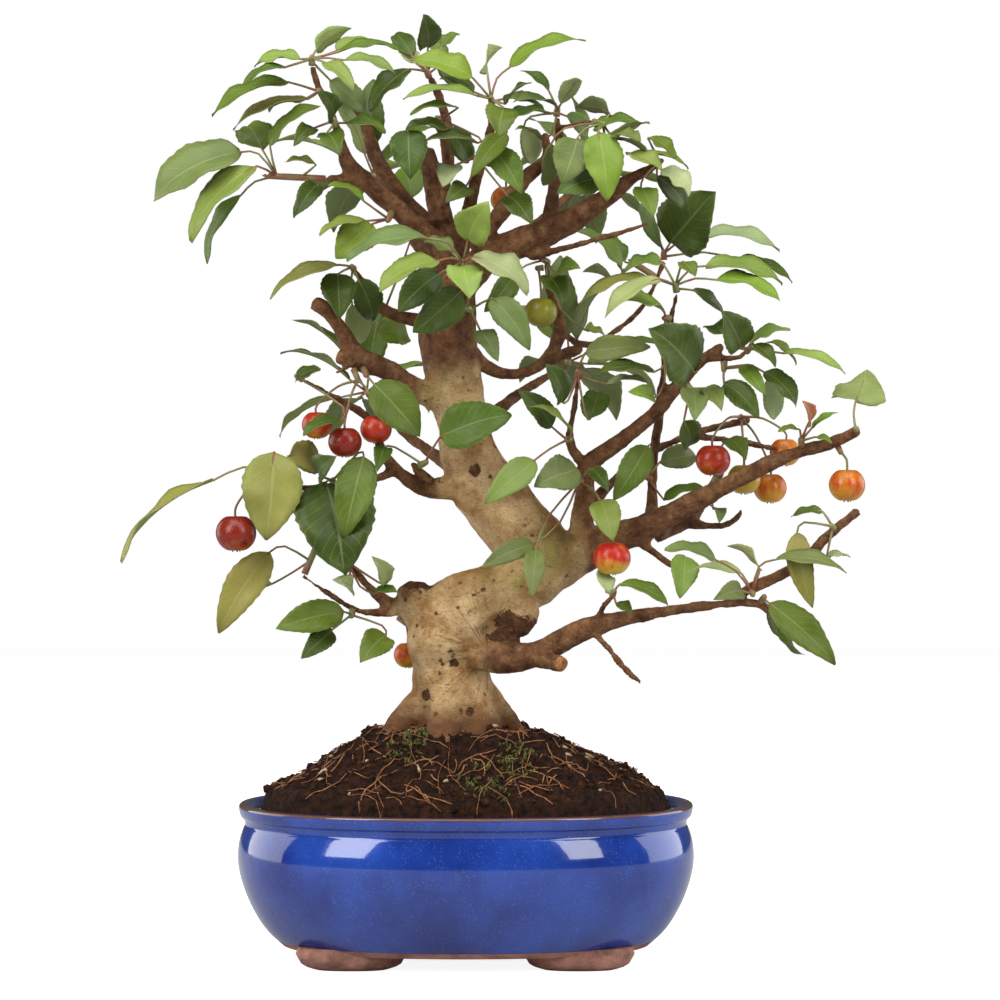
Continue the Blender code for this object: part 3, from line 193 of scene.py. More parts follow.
LIMBS = (
    Limb("left_burl", ((440, 632, -2, 24), (418, 606, -4, 20), (412, 586, -5, 15)), 7),
    Limb("right_burl", ((510, 600, -4, 22), (519, 617, -6, 22), (516, 636, -8, 15)), 7),
    Limb("burl_web", ((488, 608, -4, 16), (496, 630, -6, 17), (500, 650, -8, 12)), 6),
    Limb("right_collar", ((548, 560, 2, 34), (570, 556, 4, 27), (585, 550, 6, 18)), 7),
    Limb("low_right", ((468, 648, -8, 18), (505, 656, -14, 18), (540, 652, -18, 13), (575, 633, -22, 12),
        (610, 622, -25, 9), (660, 612, -30, 6), (715, 605, -34, 4.5), (755, 603, -36, 3.5),
        (773, 617, -38, 3.0)), 6),
    Limb("low_right_stub", ((525, 656, -16, 9), (548, 661, -26, 8), (562, 664, -34, 7.5)), 6),
    Limb("low_right_fork", ((725, 604, -35, 4), (750, 589, -38, 5), (785, 573, -40, 6), (810, 556, -42, 6.5),
        (822, 541, -43, 5.5), (858, 511, -46, 4.5)), 5),
    Limb("low_right_drop", ((590, 630, -24, 4), (606, 645, -28, 3.2), (624, 668, -32, 3),
        (641, 683, -34, 2.2)), 4),
    Limb("low_right_rise", ((596, 622, -24, 3.5), (604, 606, -30, 3), (613, 596, -34, 2.6)), 4),
    Limb("riser", ((576, 562, 4, 20), (582, 530, 4, 12), (585, 495, 2, 10.5), (588, 466, 0, 10),
        (618, 443, -4, 8), (650, 417, -8, 7.5), (672, 392, -12, 7), (700, 362, -16, 5.5),
        (722, 346, -20, 4.5)), 6),
    Limb("riser_twig", ((588, 470, 0, 6), (570, 443, -8, 5), (574, 410, -12, 3.5), (578, 380, -15, 3)), 5),
    Limb("riser_spire", ((660, 404, -9, 5), (663, 372, -14, 4), (670, 325, -20, 3.6), (677, 294, -24, 3.2)),
        5),
    Limb("riser_end", ((706, 358, -16, 4), (735, 358, -24, 3), (746, 352, -28, 2.6)), 4),
    Limb("far_right", ((580, 556, 6, 20), (612, 538, 4, 17), (640, 530, 0, 15), (668, 515, -4, 12),
        (705, 496, -10, 10), (745, 476, -16, 8.5), (790, 455, -20, 7), (835, 442, -24, 6),
        (858, 430, -26, 5)), 7),
    Limb("far_right_post", ((652, 522, 4, 7), (652, 480, 10, 5.5), (655, 445, 14, 5), (660, 412, 6, 5)), 5),
    Limb("far_right_under", ((655, 532, 4, 12), (690, 518, 12, 8), (712, 486, 20, 6), (728, 460, 28, 4.5)),
        5),
    Limb("far_right_twig", ((690, 524, 12, 5), (722, 526, 8, 3.6), (737, 517, 4, 3), (742, 509, 2, 2.4)), 4),
    Limb("far_right_drop", ((640, 540, 0, 6), (662, 559, -4, 4), (690, 574, -8, 3)), 4),
    Limb("right_middle", ((590, 505, 6, 7), (615, 480, 16, 4.5), (648, 454, 22, 4), (682, 438, 24, 4),
        (712, 428, 26, 4), (750, 420, 26, 4)), 5),
    Limb("right_middle_fork", ((694, 436, 24, 4), (735, 441, 16, 3.6), (776, 449, 6, 3)), 4),
    Limb("left_low", ((418, 612, 0, 9), (393, 606, 0, 8), (372, 590, -6, 5), (350, 566, -12, 3.6)), 5),
    Limb("left_low_twig", ((395, 612, -2, 5), (360, 611, -8, 3.2), (332, 596, -13, 3), (303, 576, -18, 2.2)),
        4),
    Limb("left_middle", ((456, 486, -4, 14), (425, 489, -8, 9), (400, 474, -12, 6.5), (383, 452, -15, 5.5),
        (369, 420, -18, 4.5), (345, 403, -20, 3.4), (303, 380, -24, 2.6)), 5),
    Limb("left_middle_out", ((396, 472, -12, 5), (362, 482, -16, 4), (325, 487, -20, 3.6),
        (292, 487, -24, 3.4), (276, 472, -27, 3)), 5),
    Limb("left_snag", ((436, 488, -8, 7), (420, 473, -14, 5), (412, 463, -16, 3)), 4),
    Limb("left_upper", ((448, 402, -2, 16), (420, 392, -4, 12), (390, 371, -8, 9.5), (357, 358, -12, 12),
        (344, 334, -15, 8), (328, 312, -18, 7.5), (315, 303, -20, 7)), 6),
    Limb("left_knob", ((360, 360, -12, 9), (345, 358, -16, 9), (338, 357, -18, 7)), 5),
    Limb("left_spur", ((360, 366, -12, 4.5), (350, 366, -18, 3), (336, 373, -21, 2.6)), 4),
    Limb("crown_left", ((448, 290, 2, 16), (440, 250, -4, 13), (415, 224, -10, 10), (380, 195, -14, 10),
        (350, 167, -18, 8.5), (343, 150, -20, 6), (336, 128, -22, 4)), 6),
    Limb("crown_left_top", ((347, 160, -18, 5), (333, 118, -20, 3.5), (319, 88, -22, 4), (312, 67, -24, 3.6)),
        4),
    Limb("crown_left_twin", ((430, 226, 0, 10), (400, 194, 2, 8.5), (378, 162, 6, 8), (366, 128, 10, 5),
        (350, 100, 12, 3.6)), 5),
    Limb("crown_left_arm", ((362, 184, -16, 6), (346, 179, -18, 4.8), (328, 179, -20, 4)), 4),
    Limb("crown_spire", ((443, 220, 2, 7), (446, 180, -6, 5), (444, 140, -12, 4.6), (434, 118, -16, 4.2)), 5),
    Limb("crown_top", ((441, 200, 8, 7), (450, 150, 10, 6), (442, 105, 8, 5), (430, 78, 4, 3.2)), 5),
    Limb("crown_middle", ((456, 270, 6, 12), (468, 215, 8, 8), (476, 180, 0, 6), (490, 135, -10, 4.6),
        (492, 106, -16, 3.6)), 5),
    Limb("crown_front", ((455, 320, -8, 10), (461, 290, -26, 7), (464, 266, -40, 4)), 5),
    Limb("crown_right", ((453, 300, 0, 18), (480, 262, -2, 15), (520, 243, -6, 15), (560, 226, -8, 13),
        (600, 202, -10, 10), (632, 178, -12, 6), (655, 166, -14, 4)), 7),
    Limb("crown_right_mast", ((548, 232, -6, 9), (553, 195, -2, 7), (560, 150, 2, 5), (557, 118, 4, 3.6)), 5),
    Limb("crown_right_knee", ((500, 215, -10, 9), (524, 180, -14, 8), (546, 160, -14, 6), (545, 134, -12, 4)),
        5),
    Limb("crown_right_knee_root", ((476, 250, -4, 10), (488, 230, -8, 9), (504, 210, -11, 8)), 5),
    Limb("crown_right_wand", ((556, 128, 3, 3.4), (575, 124, -4, 3.2), (592, 122, -10, 3)), 4),
    Limb("crown_right_spray", ((530, 256, -6, 6), (562, 249, -14, 3.6), (605, 237, -22, 3.6),
        (648, 224, -28, 3)), 4),
    Limb("right_hook", ((462, 346, 6, 12), (482, 364, 10, 8), (510, 374, 12, 7), (538, 366, 12, 6.5),
        (556, 345, 12, 7), (560, 320, 12, 6), (550, 292, 10, 4), (547, 262, 6, 4)), 5),
    Limb("right_hook_stub", ((545, 362, 12, 6), (565, 354, 4, 6), (580, 348, -4, 5.5)), 5),
    Limb("right_hook_rod", ((558, 330, 12, 4), (590, 345, 22, 3.6), (640, 310, 30, 3.4), (664, 262, 34, 3)),
        4),
    Limb("left_back", ((446, 324, 4, 10), (405, 318, 14, 7), (378, 306, 12, 6), (366, 285, 4, 4),
        (352, 268, -4, 3)), 5),
    Limb("back_left", ((450, 300, 8, 12), (430, 262, 26, 9), (402, 218, 40, 6), (376, 180, 50, 4)), 5),
    Limb("back_right", ((454, 300, 8, 12), (492, 262, 28, 9), (540, 222, 42, 6), (578, 186, 54, 4)), 5),
    Limb("back_middle", ((470, 440, 6, 12), (492, 415, 28, 7.5), (528, 388, 46, 5), (566, 366, 60, 3.6)), 5),
    Limb("back_low_left", ((462, 470, 8, 12), (430, 452, 30, 6.5), (396, 426, 46, 4.6), (370, 396, 58, 3.4)),
        5),
)

SHOOTS = (
    Shoot("top_left", 312, 63, -25, (Blade(316, 50, 349, 24, 20, BACK, -20),
        Blade(301, 59, 254, 65, 24, UP, -30), Blade(285, 66, 241, 80, 16, UP, -42),
        Blade(324, 62, 354, 89, 16, UP, -48), Blade(336, 51, 368, 38, 13, UP, -8),
        Blade(338, 52, 400, 48, 18, UP, -18), Blade(343, 60, 396, 73, 18, UP, -38),
        Blade(330, 80, 366, 110, 24, FRONT, -12)), 0),
    Shoot("top_left_low", 319, 91, -24, (Blade(288, 82, 211, 114, 26, UP, -30),
        Blade(308, 99, 232, 127, 15, UP, -22), Blade(300, 102, 268, 110, 16, UP, -4)), 0),
    Shoot("left_bud", 335, 124, -24, (Blade(332, 119, 324, 96, 22, FRONT, -34),
        Blade(346, 123, 386, 131, 21, UP, -30), Blade(326, 134, 341, 156, 24, FRONT, -36),
        Blade(314, 128, 297, 149, 15, FRONT, -28)), 0),
    Shoot("left_outer", 269, 176, -25, (Blade(241, 152, 152, 198, 54, Vector((-0.3, -0.8, 0.7)), -30),
        Blade(262, 149, 244, 122, 34, FRONT, -12), Blade(270, 146, 319, 104, 24, UP, -30),
        Blade(257, 166, 189, 240, 30, UP, -42), Blade(242, 194, 205, 263, 18, LEFT, -14),
        Blade(318, 184, 298, 217, 20, FRONT, -32), Blade(316, 165, 285, 161, 12, UP, -26)), 0),
    Shoot("left_pale_bud", 388, 220, -22, (Blade(365, 202, 329, 184, 17, UP, -34),
        Blade(365, 221, 319, 233, 16, UP, -40), Blade(372, 224, 337, 257, 36, FRONT, -30)), 0),
    Shoot("crown_tip", 428, 74, 2, (Blade(428, 47, 425, 20, 26, FRONT, -4),
        Blade(412, 56, 393, 29, 20, FRONT, 10), Blade(442, 47, 459, 33, 13, UP, 10),
        Blade(415, 62, 398, 44, 14, UP, 12), Blade(410, 69, 369, 110, 24, UP, -14),
        Blade(445, 60, 420, 40, 16, UP, 18), Blade(436, 60, 452, 84, 20, FRONT, 8)), 0),
    Shoot("crown_bud", 491, 98, -20, (Blade(473, 78, 412, 59, 34, Vector((0.2, -0.7, 0.7)), -22),
        Blade(487, 70, 500, 43, 24, BACK, -10), Blade(509, 68, 585, 38, 24, UP, -12),
        Blade(478, 96, 403, 97, 16, UP, -36), Blade(504, 108, 498, 138, 30, FRONT, -40),
        Blade(505, 104, 531, 82, 17, UP, -36), Blade(474, 92, 440, 78, 18, UP, -12),
        Blade(508, 98, 547, 112, 20, UP, -8)), 0),
    Shoot("crown_spur", 440, 119, -20, (Blade(449, 131, 406, 127, 22, UP, -32),
        Blade(458, 108, 410, 113, 13, UP, -36), Blade(478, 143, 421, 142, 15, UP, -32),
        Blade(408, 130, 410, 178, 34, FRONT, -38), Blade(450, 128, 470, 162, 24, FRONT, 2)), 0),
    Shoot("crown_inner", 482, 158, -6, (Blade(506, 134, 471, 176, 20, FRONT, -36),
        Blade(494, 150, 521, 192, 28, FRONT, -34), Blade(466, 186, 447, 204, 20, FRONT, -26),
        Blade(455, 165, 443, 186, 18, UP, -30), Blade(508, 196, 531, 224, 26, FRONT, -26)), 0),
    Shoot("crown_right_bud", 557, 113, 2, (Blade(556, 106, 513, 102, 18, UP, -18),
        Blade(561, 104, 580, 83, 16, BACK, -6), Blade(549, 91, 521, 70, 13, UP, 6),
        Blade(550, 114, 505, 119, 18, UP, -34), Blade(541, 138, 517, 127, 12, UP, -20),
        Blade(524, 126, 533, 162, 22, FRONT, 12), Blade(566, 116, 590, 134, 20, FRONT, 10)), 0),
    Shoot("wand_tip", 604, 124, -16, (Blade(598, 133, 608, 200, 36, FRONT, -34),
        Blade(577, 139, 562, 184, 36, FRONT, -30), Blade(598, 178, 559, 192, 28, FRONT, -26),
        Blade(610, 114, 578, 103, 22, BACK, -10), Blade(594, 130, 638, 120, 22, UP, -18),
        Blade(612, 136, 641, 140, 20, UP, -30), Blade(549, 148, 550, 180, 20, FRONT, -14)), 0),
    Shoot("right_shoulder", 656, 164, -16, (Blade(650, 154, 689, 168, 13, UP, -6),
        Blade(628, 154, 662, 170, 22, UP, -34), Blade(662, 170, 690, 195, 24, UP, -24),
        Blade(657, 176, 688, 206, 24, FRONT, -14), Blade(641, 188, 652, 218, 22, FRONT, -30),
        Blade(648, 138, 676, 158, 18, UP, -24), Blade(650, 158, 620, 138, 24, UP, -26)), 0),
    Shoot("rod_tip", 664, 258, 34, (Blade(670, 243, 711, 196, 58, FRONT, 26),
        Blade(703, 236, 780, 249, 26, UP, 26), Blade(645, 198, 663, 250, 12, LEFT, 30),
        Blade(738, 259, 793, 281, 18, UP, 34)), 0),
    Shoot("spire_tip", 676, 288, -25, (Blade(706, 266, 783, 282, 30, UP, -30),
        Blade(714, 279, 780, 297, 24, UP, -46), Blade(662, 262, 621, 271, 24, UP, -16),
        Blade(645, 276, 575, 307, 18, UP, -20), Blade(660, 279, 604, 316, 20, UP, -44),
        Blade(692, 290, 727, 316, 11, RIGHT, -22), Blade(682, 262, 695, 276, 14, UP, -40)), 0),
    Shoot("spire_low", 670, 318, -22, (Blade(664, 311, 619, 300, 28, UP, -34),
        Blade(654, 372, 594, 374, 20, UP, -34), Blade(694, 372, 650, 330, 56, FRONT, -40),
        Blade(654, 398, 629, 392, 17, FRONT, -34)), 0),
    Shoot("hook_rosette", 632, 262, 26, (Blade(622, 270, 579, 229, 24, UP, 20),
        Blade(625, 262, 592, 234, 20, UP, 36), Blade(612, 280, 585, 268, 16, BACK, 30)), 0),
    Shoot("right_bud", 748, 350, -30, (Blade(750, 344, 790, 329, 20, UP, -38),
        Blade(741, 349, 722, 313, 34, FRONT, -42), Blade(770, 342, 797, 364, 15, UP, -22),
        Blade(753, 344, 776, 366, 14, UP, -44), Blade(782, 353, 846, 372, 16, UP, -34),
        Blade(725, 332, 712, 318, 24, FRONT, -22)), 0),
    Shoot("right_low_bud", 724, 366, -20, (Blade(724, 383, 758, 418, 24, FRONT, -28),
        Blade(764, 372, 797, 406, 22, UP, -30), Blade(768, 378, 778, 420, 20, FRONT, -18),
        Blade(742, 366, 764, 395, 14, FRONT, -38)), 0),
    Shoot("right_inner", 690, 388, -16, (Blade(693, 389, 694, 419, 26, FRONT, -26),
        Blade(706, 388, 718, 410, 20, FRONT, -20), Blade(684, 420, 692, 447, 26, FRONT, -12)), 0),
    Shoot("twig_tip", 578, 377, -16, (Blade(585, 353, 650, 346, 24, FRONT, -26),
        Blade(562, 404, 538, 373, 26, FRONT, -22), Blade(588, 420, 592, 387, 26, FRONT, -16),
        Blade(606, 384, 648, 381, 12, UP, -26)), 0),
    Shoot("twig_side", 567, 440, -14, (Blade(552, 427, 519, 391, 22, FRONT, -22),
        Blade(535, 460, 485, 503, 27, FRONT, -34), Blade(572, 432, 531, 405, 16, UP, -34)), 0),
    Shoot("riser_spur", 578, 482, -8, (Blade(578, 470, 535, 485, 34, FRONT, -26),
        Blade(590, 469, 607, 491, 16, FRONT, -22), Blade(600, 500, 612, 540, 28, FRONT, -32),
        Blade(534, 544, 482, 567, 20, FRONT, -34), Blade(536, 549, 532, 596, 20, FRONT, -42)), 0),
    Shoot("trunk_bud", 426, 462, -20, (Blade(440, 437, 511, 414, 42, FRONT, -30),
        Blade(384, 447, 379, 470, 17, FRONT, -28)), 0),
    Shoot("post_shoot", 648, 478, 6, (Blade(648, 446, 614, 500, 28, FRONT, -10),
        Blade(660, 462, 699, 455, 24, FRONT, 12), Blade(664, 500, 706, 488, 17, UP, 4)), 0),
    Shoot("under_shoot", 716, 478, 14, (Blade(690, 508, 665, 527, 16, FRONT, 6),
        Blade(728, 441, 742, 461, 22, FRONT, 10)), 0),
    Shoot("young_shoot", 802, 444, -24, (Blade(812, 428, 838, 412, 9, UP, -28),
        Blade(800, 430, 778, 431, 9, UP, -34), Blade(808, 424, 800, 403, 9, FRONT, -30),
        Blade(815, 437, 832, 443, 8, UP, -34)), 0),
    Shoot("limb_end", 856, 429, -29, (Blade(856, 400, 866, 372, 52, Vector((0.0, 0.45, -0.9)), 0),), 0),
    Shoot("fork_bud", 752, 592, -42, (Blade(716, 560, 665, 548, 22, UP, -48),
        Blade(742, 574, 692, 569, 13, UP, -30), Blade(760, 572, 731, 551, 20, BACK, -34),
        Blade(773, 560, 847, 571, 20, UP, -54), Blade(742, 591, 713, 597, 19, FRONT, -52)), 0),
    Shoot("low_right_end", 762, 600, -38, (Blade(769, 603, 836, 664, 30, FRONT, -48),
        Blade(766, 608, 784, 637, 18, FRONT, -30), Blade(780, 622, 806, 660, 14, LEFT, -36)), 0),
    Shoot("fork_end", 834, 528, -46, (Blade(823, 512, 791, 516, 12, UP, -42),
        Blade(793, 522, 794, 600, 15, FRONT, -44), Blade(826, 556, 849, 554, 12, UP, -40)), 0),
    Shoot("drop_end", 692, 572, -11, (Blade(684, 556, 679, 596, 26, FRONT, -18),), 0),
    Shoot("low_rise_tip", 613, 594, -36, (Blade(620, 584, 669, 605, 18, UP, -44),
        Blade(606, 592, 601, 572, 17, BACK, -30), Blade(616, 603, 632, 614, 12, UP, -42)), 0),
    Shoot("left_far", 273, 470, -29, (Blade(214, 480, 118, 559, 14, Vector((-0.5, -0.2, 0.9)), -34),
        Blade(274, 452, 266, 540, 54, FRONT, -38), Blade(288, 456, 320, 462, 32, FRONT, -26)), 0),
    Shoot("left_heart", 333, 480, -24, (Blade(326, 482, 346, 573, 72, FRONT, -30),
        Blade(364, 456, 349, 539, 36, FRONT, -42), Blade(320, 476, 336, 458, 26, FRONT, -30)), 0),
    Shoot("left_fruit_spur", 366, 375, -22, (Blade(374, 384, 420, 436, 40, FRONT, -28),), 0),
    Shoot("left_twig_tip", 300, 378, -26, (Blade(320, 369, 295, 381, 16, UP, -34),
        Blade(341, 421, 303, 433, 17, UP, -50)), 0),
    Shoot("left_low_out", 317, 545, -16, (Blade(270, 552, 218, 633, 34, FRONT, -24),
        Blade(272, 584, 246, 597, 15, UP, -14)), 0),
    Shoot("left_low_tip", 349, 563, -14, (Blade(386, 583, 376, 557, 18, FRONT, -20),
        Blade(352, 590, 337, 578, 18, FRONT, -30), Blade(374, 592, 398, 589, 13, UP, -26)), 0),
    Shoot("left_low_twig", 352, 613, -12, (Blade(344, 612, 276, 628, 30, FRONT, -26),
        Blade(332, 630, 304, 656, 22, FRONT, -16), Blade(386, 635, 362, 660, 28, FRONT, -26)), 0),
    Shoot("front_rosette", 463, 262, -45, (Blade(431, 239, 346, 258, 32, UP, -56),
        Blade(438, 261, 379, 289, 28, UP, -74), Blade(468, 240, 488, 206, 36, FRONT, -54),
        Blade(473, 257, 529, 291, 32, UP, -66), Blade(463, 266, 470, 298, 32, FRONT, -70),
        Blade(440, 273, 398, 311, 30, FRONT, -50), Blade(452, 252, 424, 240, 20, UP, -36)), 0),
    Shoot("front_low", 466, 308, -20, (Blade(448, 285, 412, 332, 36, FRONT, -40),
        Blade(492, 298, 530, 349, 28, FRONT, -36), Blade(480, 330, 498, 361, 20, FRONT, -30)), 0),
    Shoot("left_back_tip", 352, 267, -8, (Blade(340, 265, 269, 296, 19, UP, -28),
        Blade(338, 274, 341, 318, 32, FRONT, -16), Blade(358, 279, 372, 320, 28, FRONT, -6),
        Blade(352, 304, 360, 344, 25, FRONT, 10)), 0),
    Shoot("left_back_low", 384, 312, 16, (Blade(376, 332, 410, 336, 28, FRONT, 20),
        Blade(412, 198, 402, 166, 30, FRONT, 28)), 0),
    Shoot("hook_shoot", 548, 262, -2, (Blade(556, 274, 578, 270, 22, FRONT, -14),
        Blade(548, 276, 562, 300, 24, FRONT, -8), Blade(525, 240, 505, 226, 24, FRONT, -28),
        Blade(585, 330, 606, 336, 18, UP, 6)), 0),
)

# Shoots that the front hides, which the rule for spare leaves fills.
HIDDEN_SHOOTS = (
    Shoot("back_left_end", 374, 176, 53, (), 8),
    Shoot("back_right_end", 581, 182, 58, (), 8),
    Shoot("back_middle_end", 569, 362, 63, (), 8),
    Shoot("back_low_end", 367, 392, 61, (), 8),
)

BUNCHES = (
    Bunch("fruit_left_three", 359, 382, -20, (Fruit(317, 425, -26, 15.5), Fruit(345, 442, -34, 17),
        Fruit(376, 429, -28, 16))),
    Bunch("fruit_far_left", 262, 478, -34, (Fruit(236, 533, -34, 20.5),)),
    Bunch("fruit_behind_trunk", 398, 618, 12, (Fruit(408, 655, 22, 15),)),
    Bunch("fruit_red_middle", 592, 490, -10, (Fruit(612, 558, -24, 19),)),
    Bunch("fruit_right_cluster", 741, 417, 22, (Fruit(713, 460, -4, 18), Fruit(744, 479, 14, 17.5),
        Fruit(785, 452, 12, 16), Fruit(770, 488, 42, 17.5))),
    Bunch("fruit_far_right", 838, 447, -25, (Fruit(847, 485, -25, 18.5),)),
    Bunch("fruit_crown", 540, 268, 8, (Fruit(541, 312, 4, 17),)),
    Bunch("fruit_inner", 506, 168, -2, (Fruit(506, 200, 8, 16),)),
)

# How wide a leaf is along its blade, against its full width: at more places on a longer leaf.
STATIONS = ((0.2, 0.74), (0.48, 1.0), (0.76, 0.64))
SMALL_STATIONS = ((0.3, 0.95), (0.68, 0.78))
TINY_STATIONS = ((0.42, 1.0),)
SMALL_LEAF = 34.0
TINY_LEAF = 20.0
SHORTEST_LEAF = 24.0
LEAF_STEEPNESS = 1.25
LEAF_ARCH = 0.1
RIPPLE = 0.05
# How much wider a leaf is than it looks from its side and from its face, and its least width for its length.
SEEN_FLAT = 1.4
SEEN_FULL = 1.1
NARROWEST = 0.34
# A stalk longer than this is bent. It leaves the blade along the midrib, for this share of its length.
LONG_PETIOLE = 15.0
STALK_BEND = 0.45
BLADE_PULL = 1.4
# How far a leaf or a stem is moved at each try, in degrees and millimetres.
TRIES = 90
SWING = 0.8
STRAY = 0.15
# A spare leaf's ranges: how far it leans along the shoot, its stalk, length, droop and width for its length.
GOLDEN_ANGLE = 2.399963
SPARE_OUTWARD = (0.2, 0.9)
SPARE_LEAN = Vector((0, 0.1, 0.15))
SPARE_STALK = (9.0, 14.0)
SPARE_LENGTH = (30.0, 42.0)
SPARE_DROOP = (0.1, 0.5)
SPARE_WIDTH = (0.42, 0.52)
SPARE_TILT = 0.6
SPARE_ROLL = 0.3
# Shares of a limb's radius: the depth of the lobes of old wood and of thin limbs, and how far a tip bulges.
OLD_LOBES = 0.06
THIN_LOBES = 0.03
THIN_SIDES = 6
LOBE_TURN = 0.9
SECOND_LOBE = 0.7
SECOND_TURN = 1.3
BLUNT_TIP = 0.45
# A stem's sides and taper, where its leaves spring from, and how near a tip may be to the wood.
STEM_SIDES = 5
STEM_TAPER = 0.8
STEM_SPAN = (0.45, 0.86)
ON_WOOD = 1.0
WOOD_GAP_SHARE = 0.2
# A crabapple's section from its dimple to its eye, as shares of its radius, and its stalk's bends and radii.
FRUIT_PROFILE = ((0.0, 0.8), (0.42, 0.9), (0.94, 0.38), (0.94, -0.32), (0.45, -0.84), (0.0, -0.84))
STALK_END = 0.5
STALK_ABOVE = 1.25
STALK_RISE = 0.12
STALK_RADII = (0.8, 0.75, 0.7, 0.65)
STALK_SIDES = 4
# The least value, in millimetres, that a smooth curve gives a radius.
LEAST_VALUE = 0.2
# The mound's rings, as shares of its reach and heights, from where the soil leaves the pot to its top.
POT_LIP = 8.5
SOIL_GAP = 0.5
SOIL_INSET = 9.5
SOIL_ROUGHNESS = 1.6
MOUND = ((0.995, SOIL_EDGE), (0.95, 77.5), (0.77, 86.0), (0.58, 94.5), (0.43, 103.0), (0.24, SOIL_TOP))


class Tone(Enum):
    """The leaves' upper-side colours, in linear values, with light painted in: DARK is partly painted shade,
    PALE is a painted sheen, and LIGHT and BRIGHT are partly the painted glow of backlit leaves.
    """

    DARK = (0.036, 0.066, 0.006)
    MIDDLE = (0.080, 0.132, 0.012)
    GREY = (0.125, 0.165, 0.048)
    LIGHT = (0.200, 0.280, 0.055)
    BRIGHT = (0.150, 0.240, 0.022)
    PALE = (0.360, 0.420, 0.185)
    OLIVE = (0.220, 0.215, 0.050)
    RED = (0.360, 0.090, 0.045)


# Each leaf's tone in the shoots' tables, by the first letter of the tone's name, so the tables also give each
# leaf's painted shade, sheen and glow.
TONE_LETTERS = {tone.name[0]: tone.value for tone in Tone}
SHOOT_TONES = {
    "top_left": "LLMLLMLG", "top_left_low": "MOD", "left_bud": "DMDD", "left_outer": "GMMLMDO",
    "left_pale_bud": "BLB", "crown_tip": "DDMPDGD", "crown_bud": "BPBLMDDG", "crown_spur": "DMGDM",
    "crown_inner": "MMDPD", "crown_right_bud": "GPDDMPM", "wand_tip": "BGDDMGG",
    "right_shoulder": "BLPDMMG", "rod_tip": "DPGD", "spire_tip": "LBLOPDM", "spire_low": "LDDB",
    "hook_rosette": "LMG", "right_bud": "LDMDLD", "right_low_bud": "DDPM", "right_inner": "GGD",
    "twig_tip": "GDMP", "twig_side": "DLL", "riser_spur": "GDLGG", "trunk_bud": "MD", "post_shoot": "MGM",
    "under_shoot": "GM", "young_shoot": "BBRB", "limb_end": "L", "fork_bud": "GPPGG",
    "low_right_end": "MDM", "fork_end": "DOP", "drop_end": "L", "low_rise_tip": "MPD", "left_far": "OOO",
    "left_heart": "DMD", "left_fruit_spur": "M", "left_twig_tip": "DD", "left_low_out": "OP",
    "left_low_tip": "PPM", "left_low_twig": "MDM", "front_rosette": "GLLPLDG", "front_low": "DGG",
    "left_back_tip": "ODDP", "left_back_low": "BB", "hook_shoot": "MDML",
}
SPARE_TONES = "MDGL"


class Ripeness(Enum):
    """How ripe a crabapple is: its ground colour, its blush, and how much of it blushes."""

    DEEP_RED = ((0.42, 0.12, 0.015), (0.20, 0.012, 0.003), 0.88)
    RED = ((0.52, 0.20, 0.020), (0.34, 0.024, 0.006), 0.76)
    ORANGE = ((0.56, 0.26, 0.018), (0.48, 0.055, 0.006), 0.62)
    MIXED = ((0.58, 0.40, 0.035), (0.48, 0.018, 0.010), 0.70)
    YELLOW = ((0.44, 0.29, 0.025), (0.36, 0.110, 0.012), 0.40)
    GREEN = ((0.28, 0.26, 0.025), (0.34, 0.140, 0.015), 0.25)


BUNCH_RIPENESS = {
    "fruit_left_three": (Ripeness.RED, Ripeness.DEEP_RED, Ripeness.RED),
    "fruit_far_left": (Ripeness.DEEP_RED,),
    "fruit_behind_trunk": (Ripeness.ORANGE,),
    "fruit_red_middle": (Ripeness.MIXED,),
    "fruit_right_cluster": (Ripeness.RED, Ripeness.YELLOW, Ripeness.ORANGE, Ripeness.ORANGE),
    "fruit_far_right": (Ripeness.ORANGE,),
    "fruit_crown": (Ripeness.GREEN,),
    "fruit_inner": (Ripeness.MIXED,),
}


